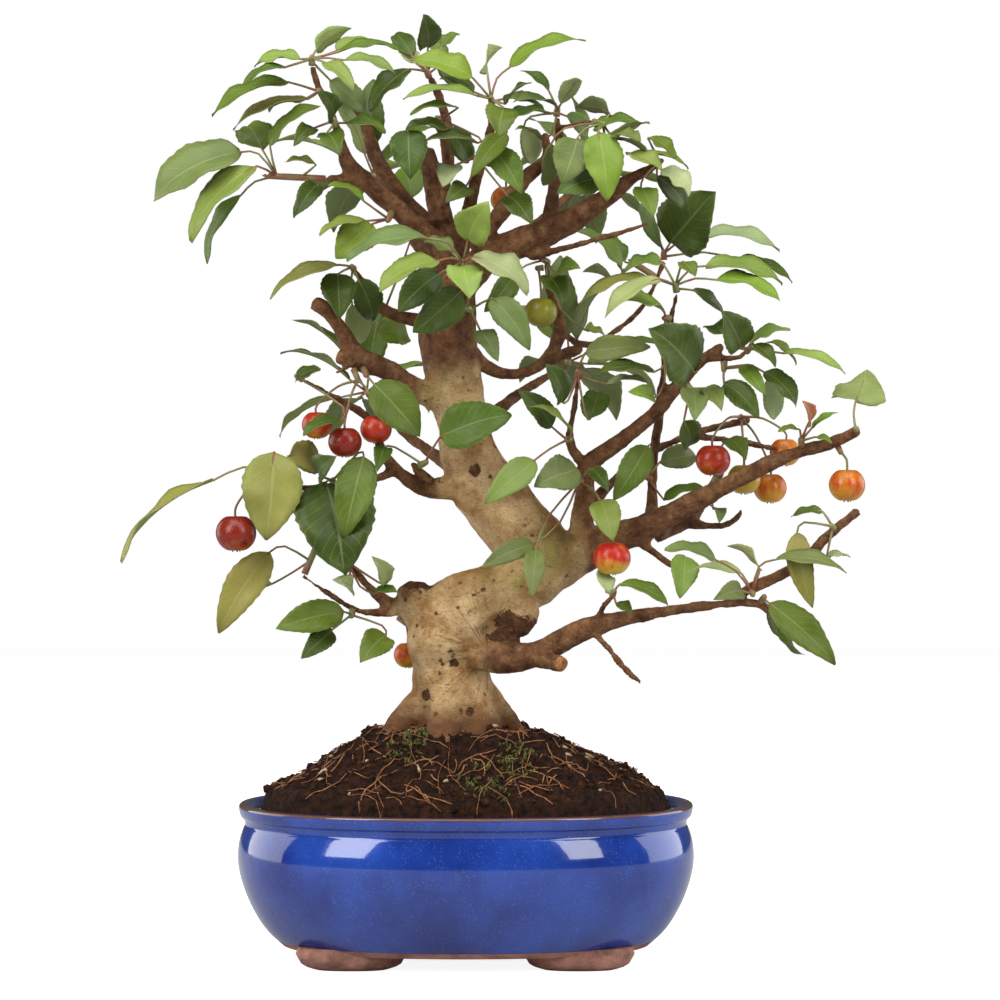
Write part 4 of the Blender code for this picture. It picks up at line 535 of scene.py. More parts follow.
class Nodes:
    """A short way to lay out one material's nodes."""

    def __init__(self, tree: bpy.types.NodeTree) -> None:
        """Keep the tree that the nodes go into."""
        self.tree = tree

    def add(self, kind: str, settings: dict[str, object] | None = None, **sockets: object) -> bpy.types.Node:
        """Add one node.

        Args:
            kind: The node's type without its ShaderNode prefix.
            settings: Its own properties.
            sockets: Its inputs by name, with underscores for spaces, as values or as sockets to link.

        Returns:
            The new node.
        """
        node = self.tree.nodes.new(f"ShaderNode{kind}")
        for name, value in (settings or {}).items():
            setattr(node, name, value)
        for name, value in sockets.items():
            self.feed(node.inputs[name.replace("_", " ")], value)
        return node

    def feed(self, socket: Socket, value: object) -> None:
        """Link a socket to an output, or set its value."""
        if isinstance(value, Socket):
            self.tree.links.new(value, socket)
        else:
            socket.default_value = value

    def place(self) -> Socket:
        """Return the object's own coordinates."""
        return self.add("TexCoord").outputs["Object"]

    def stretched(self, upright: float) -> Socket:
        """Return the object's own coordinates with their height scaled."""
        return self.add("Mapping", Vector=self.place(), Scale=(1.0, 1.0, upright)).outputs["Vector"]

    def noise(self, scale: float, detail: float = 4.0, rough: float = 0.55,
              at: object = None) -> Socket:
        """Return a noise pattern, with its scale in patterns to the metre."""
        where = at or self.place()
        return self.add("TexNoise", Vector=where, Scale=scale, Detail=detail, Roughness=rough).outputs["Fac"]

    def dots(self, scale: float) -> Socket:
        """Return how far each place is from the nearest of scattered dots."""
        return self.add("TexVoronoi", {"feature": "F1"}, Vector=self.place(), Scale=scale).outputs["Distance"]

    def ramp(self, value: object, *stops: tuple[float, Colour]) -> Socket:
        """Return a colour ramp over a value."""
        node = self.add("ValToRGB", Fac=value)
        elements = node.color_ramp.elements
        while len(elements) < len(stops):
            elements.new(0.5)
        for element, (where, colour) in zip(elements, stops):
            element.position = where
            element.color = (*colour, 1.0)
        return node.outputs["Color"]

    def band(self, value: object, low: float, high: float, start: float = 0.0,
             end: float = 1.0) -> Socket:
        """Return a value brought from low..high to start..end, and kept there."""
        return self.add("MapRange", {"clamp": True}, Value=value, From_Min=low, From_Max=high,
                        To_Min=start, To_Max=end).outputs["Result"]

    def math(self, operation: str, first: object, second: object = 0.0) -> Socket:
        """Return the result of one sum of two values."""
        node = self.add("Math", {"operation": operation})
        self.feed(node.inputs[0], first)
        self.feed(node.inputs[1], second)
        return node.outputs[0]

    def plus(self, first: object, second: object) -> Socket:
        """Return two values added."""
        return self.math("ADD", first, second)

    def times(self, first: object, second: object) -> Socket:
        """Return two values multiplied."""
        return self.math("MULTIPLY", first, second)

    def sway(self, pattern: object, amount: object) -> Socket:
        """Return how far a pattern lies off its middle, times an amount."""
        return self.times(self.math("SUBTRACT", pattern, 0.5), amount)

    def mix(self, share: object, first: object, second: object) -> Socket:
        """Return two colours mixed by a share."""
        node = self.add("Mix", {"data_type": "RGBA"})
        self.feed(node.inputs[0], share)
        for socket, value in ((node.inputs[6], first), (node.inputs[7], second)):
            self.feed(socket, (*value, 1.0) if isinstance(value, tuple) else value)
        return node.outputs[2]

    def bump(self, height: object, depth: float, strength: float) -> Socket:
        """Return normals raised by a height, as deep as depth in metres."""
        return self.add("Bump", Height=height, Distance=depth, Strength=strength).outputs["Normal"]

    def attribute(self, name: str, output: str = "Fac") -> Socket:
        """Return one of the mesh's attributes, as a number or as a colour."""
        return self.add("Attribute", {"attribute_name": name, "attribute_type": "GEOMETRY"}).outputs[output]


def mottle_group() -> bpy.types.NodeTree:
    """Build the shared effect that breaks up a colour with soft patches and fine specks.

    Returns:
        The node group.
    """
    group = bpy.data.node_groups.new("Mottle", "ShaderNodeTree")
    sockets = group.interface
    sockets.new_socket("Colour", in_out="INPUT", socket_type="NodeSocketColor")
    for name in ("Patch Scale", "Speck Scale", "Patch Amount", "Speck Amount"):
        sockets.new_socket(name, in_out="INPUT", socket_type="NodeSocketFloat")
    sockets.new_socket("Colour", in_out="OUTPUT", socket_type="NodeSocketColor")
    sockets.new_socket("Height", in_out="OUTPUT", socket_type="NodeSocketFloat")
    lay = Nodes(group)
    given = group.nodes.new("NodeGroupInput").outputs
    patches = lay.noise(given["Patch Scale"], 3.0, 0.5)
    specks = lay.noise(given["Speck Scale"], 5.0, 0.7)
    patch_light = lay.sway(patches, given["Patch Amount"])
    speck_light = lay.sway(specks, given["Speck Amount"])
    light = lay.plus(lay.plus(patch_light, speck_light), 1.0)
    scaled = lay.add("VectorMath", {"operation": "SCALE"}, Scale=light)
    lay.feed(scaled.inputs[0], given["Colour"])
    out = group.nodes.new("NodeGroupOutput").inputs
    lay.feed(out["Colour"], scaled.outputs["Vector"])
    lay.feed(out["Height"], specks)
    return group


MOTTLE = mottle_group()


@dataclass(frozen=True)
class Finish:
    """What every finish has: its name, its gloss and its clear coat."""

    name: str
    roughness: float = 0.5
    specular: float = 0.5
    coat: float = 0.0
    coat_roughness: float = 0.03

    def begin(self) -> tuple[bpy.types.Material, Nodes, bpy.types.Node]:
        """Start the material: its nodes' layout and its shader."""
        material = bpy.data.materials.new(self.name)
        material.use_nodes = True
        shader = material.node_tree.nodes["Principled BSDF"]
        for name, value in (("Roughness", self.roughness), ("Specular IOR Level", self.specular),
                            ("Coat Weight", self.coat), ("Coat Roughness", self.coat_roughness)):
            shader.inputs[name].default_value = value
        return material, Nodes(material.node_tree), shader

    def mottled(self, lay: Nodes, shader: bpy.types.Node, colour: Socket,
                patch: Span, speck: Span) -> Socket:
        """Give the shader its colour, broken up by the shared mottling.

        Args:
            lay: The material's nodes.
            shader: Its shader.
            colour: The colour to break up.
            patch: The patches' scale and amount.
            speck: The specks' scale and amount.

        Returns:
            The specks, as a height for the relief.
        """
        node = lay.add("Group", {"node_tree": MOTTLE}, Colour=colour, Patch_Scale=patch[0],
                       Patch_Amount=patch[1], Speck_Scale=speck[0], Speck_Amount=speck[1])
        lay.feed(shader.inputs["Base Color"], node.outputs["Colour"])
        return node.outputs["Height"]


@dataclass(frozen=True)
class BarkFinish(Finish):
    """Smooth pale tan bark on the old trunk, red-brown and rougher on the limbs."""

    roughness: float = 0.72
    specular: float = 0.25
    pale: Colour = (0.52, 0.34, 0.155)
    pale_light: Colour = (0.68, 0.50, 0.28)
    shade: Colour = (0.29, 0.145, 0.048)
    dirt: Colour = (0.120, 0.046, 0.014)
    green: Colour = (0.20, 0.200, 0.035)
    limb: Colour = (0.072, 0.023, 0.008)
    limb_light: Colour = (0.20, 0.090, 0.036)
    limb_pale: Colour = (0.31, 0.20, 0.095)
    crack: Colour = (0.028, 0.010, 0.004)
    cut: Colour = (0.40, 0.17, 0.050)
    cut_light: Colour = (0.62, 0.34, 0.14)

    def build(self) -> bpy.types.Material:
        """Build the material. The age attribute runs from 0 on the young limbs to 1 on the old trunk."""
        material, lay, shader = self.begin()
        lines = lay.noise(520.0, 5.0, 0.7, lay.stretched(2.6))
        pits, folds = self.pits(lay), self.folds(lay)
        edge = lay.plus(lay.attribute("age"), lay.sway(lay.noise(90.0), 0.7))
        old = self.trunk_colour(lay, lines, pits, folds)
        colour = lay.mix(lay.band(edge, 0.35, 0.70), self.limb_colour(lay, lines), old)
        height = self.mottled(lay, shader, self.wounded(lay, colour), (55.0, 0.7), (900.0, 0.5))
        sunk = lay.plus(lay.plus(lay.times(lines, 0.7), pits), lay.times(folds, 0.8))
        lay.feed(shader.inputs["Normal"], lay.bump(lay.math("SUBTRACT", height, sunk), 0.0011, 0.9))
        return material

    def pits(self, lay: Nodes) -> Socket:
        """Return the few small ragged pits, as 1 inside them."""
        ragged = lay.plus(lay.dots(210.0), lay.sway(lay.noise(700.0), 0.5))
        few = lay.band(lay.noise(120.0, 2.0), 0.54, 0.60)
        return lay.times(lay.band(ragged, 0.26, 0.18), few)

    def folds(self, lay: Nodes) -> Socket:
        """Return the broken folds that fan out of the trunk's joint, as 1 inside them."""
        fan = lay.add("TexNoise", {"noise_dimensions": "1D"}, W=lay.attribute("fan"), Scale=14.0, Detail=4.0,
                      Roughness=0.7).outputs["Fac"]
        folds = lay.times(lay.band(fan, 0.52, 0.62), lay.attribute("fan_share"))
        return lay.times(folds, lay.band(lay.noise(160.0), 0.40, 0.55))

    def trunk_colour(self, lay: Nodes, lines: Socket, pits: Socket,
                     folds: Socket) -> Socket:
        """Return the old bark: stained tan, green in places, lined, pitted, and dirty towards the soil."""
        old = lay.ramp(lay.noise(70.0, 6.0, 0.66), (0.36, self.shade), (0.52, self.pale),
                       (0.70, self.pale_light))
        stain = lay.band(lay.noise(30.0, 5.0, 0.7), 0.50, 0.70)
        old = lay.mix(lay.times(stain, 0.8), old, self.shade)
        patchy = lay.band(lay.noise(38.0), 0.44, 0.66)
        old = lay.mix(lay.times(patchy, lay.attribute("green")), old, self.green)
        old = lay.mix(lay.band(lines, 0.55, 0.66, 0.0, 0.8), old, self.dirt)
        old = lay.mix(pits, old, self.dirt)
        old = lay.mix(lay.times(folds, 0.8), old, self.dirt)
        soiled = lay.plus(lay.attribute("dirt"), lay.math("SUBTRACT", lay.noise(110.0, 6.0, 0.7), 0.6))
        return lay.mix(lay.band(soiled, 0.10, 0.75, 0.0, 0.95), old, self.dirt)

    def limb_colour(self, lay: Nodes, lines: Socket) -> Socket:
        """Return the limbs' red-brown bark with its dark cracks."""
        young = lay.ramp(lay.noise(190.0, 8.0, 0.72), (0.36, self.limb), (0.56, self.limb_light),
                         (0.72, self.limb_pale))
        return lay.mix(lay.band(lines, 0.58, 0.70, 0.0, 0.7), young, self.crack)

    def wounded(self, lay: Nodes, colour: Socket) -> Socket:
        """Return the bark with its fresh cuts and its old scars."""
        fresh = lay.ramp(lay.noise(260.0, 5.0, 0.7), (0.36, self.dirt), (0.55, self.cut),
                         (0.75, self.cut_light))
        colour = lay.mix(lay.band(lay.attribute("cut"), 0.35, 0.55), colour, fresh)
        rough = lay.ramp(lay.noise(420.0, 6.0, 0.75), (0.38, self.crack), (0.58, self.dirt),
                         (0.75, self.limb_light))
        scarred = lay.plus(lay.attribute("scar"), lay.sway(lay.noise(330.0, 5.0, 0.65), 1.3))
        return lay.mix(lay.band(scarred, 0.34, 0.46), colour, rough)


@dataclass(frozen=True)
class LeafFinish(Finish):
    """A leaf's skin on one side: its tone's green with its painted light, a paler midrib and side veins, and
    a soft sheen.
    """

    roughness: float = 0.42
    specular: float = 0.25
    under: bool = False
    patch: Colour = (0.120, 0.175, 0.020)
    vein: Colour = (0.42, 0.47, 0.22)
    under_body: Colour = (0.24, 0.29, 0.12)
    under_vein: Colour = (0.40, 0.44, 0.20)
    rim: Colour = (0.26, 0.26, 0.10)

    def build(self) -> bpy.types.Material:
        """Build the material. The tone attribute is the leaf's green with its painted shade, sheen and glow,
        and the UV map lies along it.
        """
        material, lay, shader = self.begin()
        # The tone brings each leaf's painted shade, sheen and backlit glow into its colour.
        tone = lay.attribute("tone", "Color")
        uv = lay.add("SeparateXYZ", Vector=lay.add("TexCoord").outputs["UV"]).outputs
        aside = lay.math("ABSOLUTE", lay.math("SUBTRACT", uv["X"], 0.5))
        midrib = lay.band(aside, 0.030, 0.012)
        slanted = lay.math("SUBTRACT", uv["Y"], lay.times(aside, 0.55))
        wobble = lay.sway(lay.noise(60.0, 2.0), 0.08)
        rows = lay.math("PINGPONG", lay.times(lay.plus(slanted, wobble), 9.0), 0.5)
        side_veins = lay.times(lay.band(rows, 0.075, 0.0), 0.6)
        veins = lay.math("MAXIMUM", midrib, side_veins)
        if self.under:
            body, veined = lay.mix(0.5, tone, self.under_body), lay.mix(0.5, tone, self.under_vein)
        else:
            body = lay.mix(lay.band(lay.noise(45.0, 3.0), 0.35, 0.70, 0.0, 0.35), tone, self.patch)
            veined = lay.mix(0.35, tone, self.vein)
        colour = lay.mix(lay.times(veins, 0.6), body, veined)
        colour = lay.mix(lay.band(aside, 0.455, 0.5, 0.0, 0.35), colour, self.rim)
        self.mottled(lay, shader, colour, (90.0, 0.55), (300.0, 0.15))
        raised = lay.times(veins, 1.0 if self.under else -1.0)
        lay.feed(shader.inputs["Normal"], lay.bump(raised, 0.0002, 0.5))
        return material


@dataclass(frozen=True)
class StalkFinish(Finish):
    """Leaf stalks and green shoots, flushed with red."""

    colour: Colour = (0.20, 0.22, 0.07)
    flush: Colour = (0.24, 0.085, 0.045)

    def build(self) -> bpy.types.Material:
        """Build the material."""
        material, lay, shader = self.begin()
        colour = lay.mix(lay.band(lay.noise(110.0, 3.0), 0.38, 0.62), self.colour, self.flush)
        height = self.mottled(lay, shader, colour, (60.0, 0.4), (900.0, 0.3))
        lay.feed(shader.inputs["Normal"], lay.bump(height, 0.0002, 0.5))
        return material


@dataclass(frozen=True)
class SkinFinish(Finish):
    """A crabapple's waxy skin: ground colour, streaked blush and pale dots."""

    roughness: float = 0.3
    specular: float = 0.3
    coat: float = 0.15
    coat_roughness: float = 0.16
    dot: Colour = (0.62, 0.45, 0.25)

    def build(self) -> bpy.types.Material:
        """Build the material. The attributes hold each fruit's ground colour, its blush and its share."""
        material, lay, shader = self.begin()
        streaks = lay.noise(420.0, 4.0, 0.6, lay.stretched(0.22))
        pattern = lay.plus(lay.times(lay.noise(75.0, 2.0), 0.7), lay.times(streaks, 0.45))
        edge = lay.times(lay.math("SUBTRACT", 1.12, lay.attribute("share")), 0.85)
        cover = lay.band(lay.math("SUBTRACT", pattern, edge), -0.02, 0.22)
        colour = lay.mix(cover, lay.attribute("ground", "Color"), lay.attribute("blush", "Color"))
        colour = lay.mix(lay.band(lay.dots(520.0), 0.14, 0.06, 0.0, 0.4), colour, self.dot)
        height = self.mottled(lay, shader, colour, (120.0, 0.5), (1500.0, 0.2))
        lay.feed(shader.inputs["Normal"], lay.bump(height, 0.00015, 0.4))
        return material


@dataclass(frozen=True)
class GlazeFinish(Finish):
    """A deep cobalt glaze with fine pale specks, thin and brown along the rim."""

    roughness: float = 0.12
    specular: float = 0.3
    coat: float = 0.8
    deep: Colour = (0.004, 0.019, 0.170)
    light: Colour = (0.014, 0.056, 0.330)
    speck: Colour = (0.12, 0.20, 0.50)
    clay: Colour = (0.13, 0.060, 0.035)

    def build(self) -> bpy.types.Material:
        """Build the material. The thin attribute is 1 where the glaze runs off an edge."""
        material, lay, shader = self.begin()
        pooled = lay.ramp(lay.noise(24.0, 3.0), (0.36, self.deep), (0.66, self.light))
        few = lay.band(lay.noise(240.0, 2.0), 0.40, 0.58)
        specks = lay.times(lay.band(lay.dots(900.0), 0.34, 0.16), few)
        colour = lay.mix(lay.times(specks, 0.32), pooled, self.speck)
        thin = lay.plus(lay.attribute("thin"), lay.sway(lay.noise(170.0), 0.6))
        colour = lay.mix(lay.band(thin, 0.45, 0.75), colour, self.clay)
        self.mottled(lay, shader, colour, (40.0, 0.3), (1400.0, 0.35))
        lay.feed(shader.inputs["Normal"], lay.bump(lay.noise(160.0, 2.0), 0.00025, 0.25))
        return material


@dataclass(frozen=True)
class ClayFinish(Finish):
    """Bare fired clay, as on the feet and under the pot."""

    roughness: float = 0.85
    dark: Colour = (0.15, 0.070, 0.050)
    light: Colour = (0.38, 0.17, 0.12)
    dusty: Colour = (0.46, 0.25, 0.19)

    def build(self) -> bpy.types.Material:
        """Build the material."""
        material, lay, shader = self.begin()
        colour = lay.ramp(lay.noise(85.0, 5.0, 0.65), (0.34, self.dark), (0.55, self.light),
                          (0.75, self.dusty))
        height = self.mottled(lay, shader, colour, (60.0, 0.4), (1300.0, 0.6))
        lay.feed(shader.inputs["Normal"], lay.bump(height, 0.0004, 0.6))
        return material


@dataclass(frozen=True)
class EarthFinish(Finish):
    """Damp dark soil, or one of the things that lie on it, in a light and a dark colour."""

    roughness: float = 0.95
    specular: float = 0.15
    light: Colour = (0.042, 0.015, 0.007)
    dark: Colour = (0.006, 0.003, 0.002)
    relief: float = 0.001

    def build(self) -> bpy.types.Material:
        """Build the material."""
        material, lay, shader = self.begin()
        colour = lay.ramp(lay.noise(300.0, 6.0, 0.7), (0.38, self.dark), (0.66, self.light))
        height = self.mottled(lay, shader, colour, (70.0, 0.8), (1200.0, 0.9))
        lay.feed(shader.inputs["Normal"], lay.bump(height, self.relief, 0.9))
        return material


def seen(u: float, v: float, depth: float) -> Vector:
    """Find the point that the front picture shows.

    Args:
        u: Picture units to the right.
        v: Picture units down.
        depth: Millimetres behind the trunk's plane.

    Returns:
        The point in the tree's own millimetres.
    """
    grow = 1 + depth / EYE_DISTANCE
    across = (u - PICTURE_MIDDLE) * UNIT * grow
    return Vector((across, depth, EYE_HEIGHT - (v - PICTURE_MIDDLE) * UNIT * grow))


def pot_shift() -> Vector:
    """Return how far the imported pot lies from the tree's own origin, in millimetres."""
    low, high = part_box("pot")
    middle = [(a + b) / 2 / MM for a, b in zip(low, high)]
    return Vector((middle[0] - POT_AT_X, middle[1], low[2] / MM))


SHIFT = pot_shift()


def limb_path(limb: Limb) -> tuple[list[Vector], list[float]]:
    """Return a limb's points and radii in millimetres."""
    path = [seen(u, v, depth) for u, v, depth, _ in limb.points]
    return path, [radius * UNIT for *_, radius in limb.points]


def directions(path: Sequence[Vector]) -> list[Vector]:
    """Return the way a path runs at each of its points."""
    steps = [(b - a).normalized() for a, b in zip(path, path[1:])]
    ahead = [*steps, steps[-1]]
    behind = [steps[0], *steps]
    return [(a + b).normalized() for a, b in zip(ahead, behind)]


def any_way(draw: random.Random) -> Vector:
    """Draw a vector that may point anywhere."""
    return Vector((draw.gauss(0, 1), draw.gauss(0, 1), draw.gauss(0, 1)))


def ring_faces(rings: int, sides: int) -> list[tuple[int, ...]]:
    """Return the faces round rings of as many points each, from a flat one on the first."""
    faces: list[tuple[int, ...]] = [tuple(reversed(range(sides)))]
    for ring in range(rings - 1):
        for side in range(sides):
            beside = (side + 1) % sides
            low, high = ring * sides, (ring + 1) * sides
            faces.append((low + side, low + beside, high + beside, high + side))
    return faces


def tube(path: Sequence[Vector], radii: Sequence[float], sides: int, gnarl: float = 0.0, grow: float = 0.0,
         stride: float = 1.0) -> Shell:
    """Make a closed tapered tube with a flat root and a blunt tip.

    Args:
        path: The points of its middle line.
        radii: The radius at each of them.
        sides: How many points go round it.
        gnarl: How deep the lobes of old wood are, against the radius.
        grow: How much fatter it is all over.
        stride: How far round the lobes turn from one point to the next.

    Returns:
        The tube's shell.
    """
    ways = directions(path)
    across = ways[0].orthogonal().normalized()
    points: list[Vector] = []
    for index, (centre, way, radius) in enumerate(zip(path, ways, radii)):
        if index:
            across = ways[index - 1].rotation_difference(way) @ across
        across = (across - way * across.dot(way)).normalized()
        over = way.cross(across)
        if index == 0:
            centre = centre - way * grow
        for side in range(sides):
            turn = math.tau * side / sides
            along = index * stride
            lobes = math.sin(3 * turn + LOBE_TURN * along)
            lobes += SECOND_LOBE * math.sin(2 * turn - SECOND_TURN * along)
            reach = radius * (1 + gnarl * lobes) + grow
            points.append(centre + reach * (math.cos(turn) * across + math.sin(turn) * over))
    faces = ring_faces(len(path), sides)
    last = (len(path) - 1) * sides
    points.append(path[-1] + ways[-1] * (BLUNT_TIP * radii[-1] + grow))
    faces += [(last + side, last + (side + 1) % sides, len(points) - 1) for side in range(sides)]
    return Shell(points, faces)


def lobes_of(limb: Limb) -> float:
    """Return how deep a limb's lobes are: deeper on old wood than on a thin limb."""
    return OLD_LOBES if limb.sides > THIN_SIDES else THIN_LOBES


def limb_shell(limb: Limb) -> Shell:
    """Return a limb as the plain tube that the leaves keep clear of."""
    return tube(*limb_path(limb), limb.sides, lobes_of(limb))


def joined(shells: Iterable[Shell]) -> Shell:
    """Return several shells as one."""
    points: list[Vector] = []
    faces: list[tuple[int, ...]] = []
    for shell in shells:
        first = len(points)
        points += shell.points
        faces += [tuple(first + corner for corner in face) for face in shell.faces]
    return Shell(points, faces)


def tree_of(shell: Shell) -> BVHTree:
    """Return a shell as a search tree, which finds what crosses it and what lies nearest."""
    return BVHTree.FromPolygons(shell.points, shell.faces)


def stations_of(length: float) -> tuple[Span, ...]:
    """Return where a plain blade is given its width: at more places on a longer one."""
    if length < TINY_LEAF:
        return TINY_STATIONS
    return SMALL_STATIONS if length < SMALL_LEAF else STATIONS


class LeafPose(NamedTuple):
    """Where a leaf is: its stalk's start, its blade's base and tip, its width, its facing and its ripple."""

    start: Vector
    base: Vector
    tip: Vector
    width: float
    face: Vector
    wave: float


def stalk_bend(pose: LeafPose) -> Vector | None:
    """Return the middle of a long leaf stalk's curve, or nothing for a short one."""
    stalk = pose.base - pose.start
    if stalk.length <= LONG_PETIOLE:
        return None
    along = (pose.tip - pose.base).normalized()
    bend = pose.base - along * STALK_BEND * stalk.length
    return (pose.start + 2 * bend + pose.base) / 4


def leaf_axes(pose: LeafPose) -> tuple[Vector, Vector, Vector, float]:
    """Return the way a blade runs, the way its upper side faces, the way across it, and its length."""
    way = pose.tip - pose.base
    along = way.normalized()
    upper = (pose.face - along * pose.face.dot(along)).normalized()
    return along, upper, along.cross(upper), way.length


def blade_shell(pose: LeafPose, grow: float, stalked: bool = True) -> Shell:
    """Make the plain form of a leaf, which is tested against its neighbours.

    Args:
        pose: The leaf's pose.
        grow: How much fatter it is all over.
        stalked: Whether its stalk is part of it.

    Returns:
        The leaf's shell.
    """
    start, base, tip, width, _, wave = pose
    along, upper, side, length = leaf_axes(pose)
    stalk = base - start
    thick = LEAF_THICKNESS / 2 + grow
    thin = PETIOLE_THICKNESS / 2 + grow
    rings = [(start, stalk.normalized(), 0.0, thin, thin)] if stalked else []
    elbow = stalk_bend(pose)
    if stalked and elbow:
        rings.append((elbow, stalk.normalized(), 0.0, thin, thin))
    rings.append((base, (stalk.normalized() + BLADE_PULL * along).normalized(), 0.0, thin, thin))
    for part, share in stations_of(length):
        centre = base + along * part * length + upper * 4 * part * (1 - part) * LEAF_ARCH * length
        half = share * width / 2 + grow
        rings.append((centre, along, LEAF_FOLD * half, half, thick))
    points: list[Vector] = []
    for index, (centre, way, lift, half, deep) in enumerate(rings):
        turn = along.rotation_difference(way)
        right, top = turn @ side, turn @ upper
        ripple = wave * (1 if index % 2 else -1) if lift else 0.0
        points += [
            centre - right * half + top * (lift + ripple),
            centre + top * deep,
            centre + right * half + top * (lift - ripple),
            centre - top * deep,
        ]
    points.append(tip + along * grow)
    faces: list[tuple[int, ...]] = [(0, 1, 2), (0, 2, 3)]
    for ring in range(len(rings) - 1):
        low, high = 4 * ring, 4 * ring + 4
        for edge, middle in ((0, 1), (2, 1), (2, 3), (0, 3)):
            faces.append((low + edge, low + middle, high + middle))
            faces.append((low + edge, high + middle, high + edge))
    last = 4 * (len(rings) - 1)
    faces += [(last + corner, last + (corner + 1) % 4, len(points) - 1) for corner in range(4)]
    return Shell(points, faces)


def fruit_shell(centre: Vector, radius: float, grow: float) -> Shell:
    """Return the plain form of a crabapple, fatter all over by grow."""
    points = [centre + Vector((0, 0, FRUIT_PROFILE[0][1] * radius + grow))]
    for out, height in FRUIT_PROFILE[1:-1]:
        for side in range(FRUIT_SIDES):
            turn = math.tau * side / FRUIT_SIDES
            level = height * radius + math.copysign(grow, height)
            reach = out * radius + grow
            points.append(centre + Vector((reach * math.cos(turn), reach * math.sin(turn), level)))
    points.append(centre + Vector((0, 0, FRUIT_PROFILE[-1][1] * radius - grow)))
    faces: list[tuple[int, ...]] = []
    for side in range(FRUIT_SIDES):
        beside = (side + 1) % FRUIT_SIDES
        faces.append((0, 1 + side, 1 + beside))
        for ring in range(len(FRUIT_PROFILE) - 3):
            high, low = 1 + ring * FRUIT_SIDES, 1 + (ring + 1) * FRUIT_SIDES
            faces.append((high + side, low + side, low + beside, high + beside))
        low = 1 + (len(FRUIT_PROFILE) - 3) * FRUIT_SIDES
        faces.append((low + beside, low + side, len(points) - 1))
    return Shell(points, faces)


def crosses(tree: BVHTree, others: Iterable[BVHTree]) -> bool:
    """Return whether a shell's search tree meets any of the others."""
    return any(tree.overlap(other) for other in others)


def stem_at(tip: Vector, wood: BVHTree) -> tuple[Vector, Vector]:
    """Return a stem from beside the wood to a tip, which is moved off the wood if it lies on or in it."""
    on_wood, facing, _, distance = wood.find_nearest(tip)
    inside = (tip - on_wood).dot(facing) < 0
    way = facing if inside or distance < ON_WOOD else (tip - on_wood).normalized()
    foot = on_wood + way * GAP
    if inside or distance < STUB_LENGTH:
        tip = on_wood + way * STUB_LENGTH
    return foot, tip


def stem_shell(foot: Vector, tip: Vector, grow: float) -> Shell:
    """Return a shoot's short stem, fatter all over by grow."""
    return tube([foot, tip], [SHOOT_RADIUS, SHOOT_RADIUS * STEM_TAPER], STEM_SIDES, 0.0, grow)


def stem_of(shoot: Shoot | Bunch, wood: BVHTree,
            blocked: Sequence[BVHTree]) -> tuple[Vector, Vector, BVHTree]:
    """Find a shoot's stem: from beside the wood to the place drawn for it, or the nearest one that is free.

    Args:
        shoot: The shoot or bunch.
        wood: The wood's search tree.
        blocked: What the stem keeps clear of.

    Returns:
        The stem's foot, its tip, and the space that it fills.
    """
    draw = random.Random(f"{SEED} {shoot.name} stem")
    for attempt in range(TRIES):
        stray = any_way(draw) * STRAY * attempt
        foot, tip = stem_at(seen(shoot.u, shoot.v, shoot.depth) + stray, wood)
        guard = tree_of(stem_shell(foot, tip, GAP))
        core = tree_of(stem_shell(foot, tip, GAP * WOOD_GAP_SHARE))
        if not crosses(guard, blocked) and not crosses(core, [wood]):
            return foot, tip, guard
    raise ValueError(f"{shoot.name} finds no room")


def nearest_on(foot: Vector, tip: Vector, place: Vector) -> Vector:
    """Return the point of a stem that is nearest to a place, kept inside the stem."""
    way = tip - foot
    share = (place - foot).dot(way) / way.length_squared
    return foot + way * min(max(share, STEM_SPAN[0]), STEM_SPAN[1])


def drawn_blade(shoot: Shoot, blade: Blade) -> Wish:
    """Return a drawn leaf's base, tip, width and facing. One seen end on is lengthened in depth."""
    base = seen(blade.u, blade.v, (shoot.depth + blade.tip_depth) / 2)
    tip = seen(blade.tip_u, blade.tip_v, blade.tip_depth)
    width = blade.width * UNIT * (SEEN_FLAT if blade.face == UP else SEEN_FULL)
    flat = Vector((tip.x - base.x, 0, tip.z - base.z)).length
    least = max(SHORTEST_LEAF, LEAF_STEEPNESS * width)
    if (tip - base).length < least and blade.face in (FRONT, BACK, LEFT, RIGHT):
        deeper = math.sqrt(max(least * least - flat * flat, 0.0))
        tip.y = base.y + math.copysign(deeper, tip.y - base.y)
    return base, tip, max(width, NARROWEST * (tip - base).length), blade.face


def spare_blade(shoot: Shoot, foot: Vector, tip: Vector, index: int, draw: random.Random) -> Wish:
    """Draw a leaf that the front doesn't show, set round the shoot by the golden angle.

    Args:
        shoot: The shoot that it grows on.
        foot: The foot of its stem.
        tip: The tip of its stem.
        index: Which leaf of the shoot it is.
        draw: The leaf's own random draws.

    Returns:
        Its base, tip, width and facing.
    """
    outward = (tip - foot).normalized()
    round_shoot = outward.orthogonal().normalized()
    round_shoot.rotate(Quaternion(outward, GOLDEN_ANGLE * index + shoot.u))
    way = (outward * draw.uniform(*SPARE_OUTWARD) + round_shoot + SPARE_LEAN).normalized()
    base = tip + way * draw.uniform(*SPARE_STALK)
    length = draw.uniform(*SPARE_LENGTH)
    droop = Vector((0, 0, -draw.uniform(*SPARE_DROOP)))
    end = base + (way + droop).normalized() * length
    roll = Vector((draw.uniform(-SPARE_ROLL, SPARE_ROLL), 0, 1))
    face = (roll + SPARE_TILT * way).normalized()
    return base, end, length * draw.uniform(*SPARE_WIDTH), face


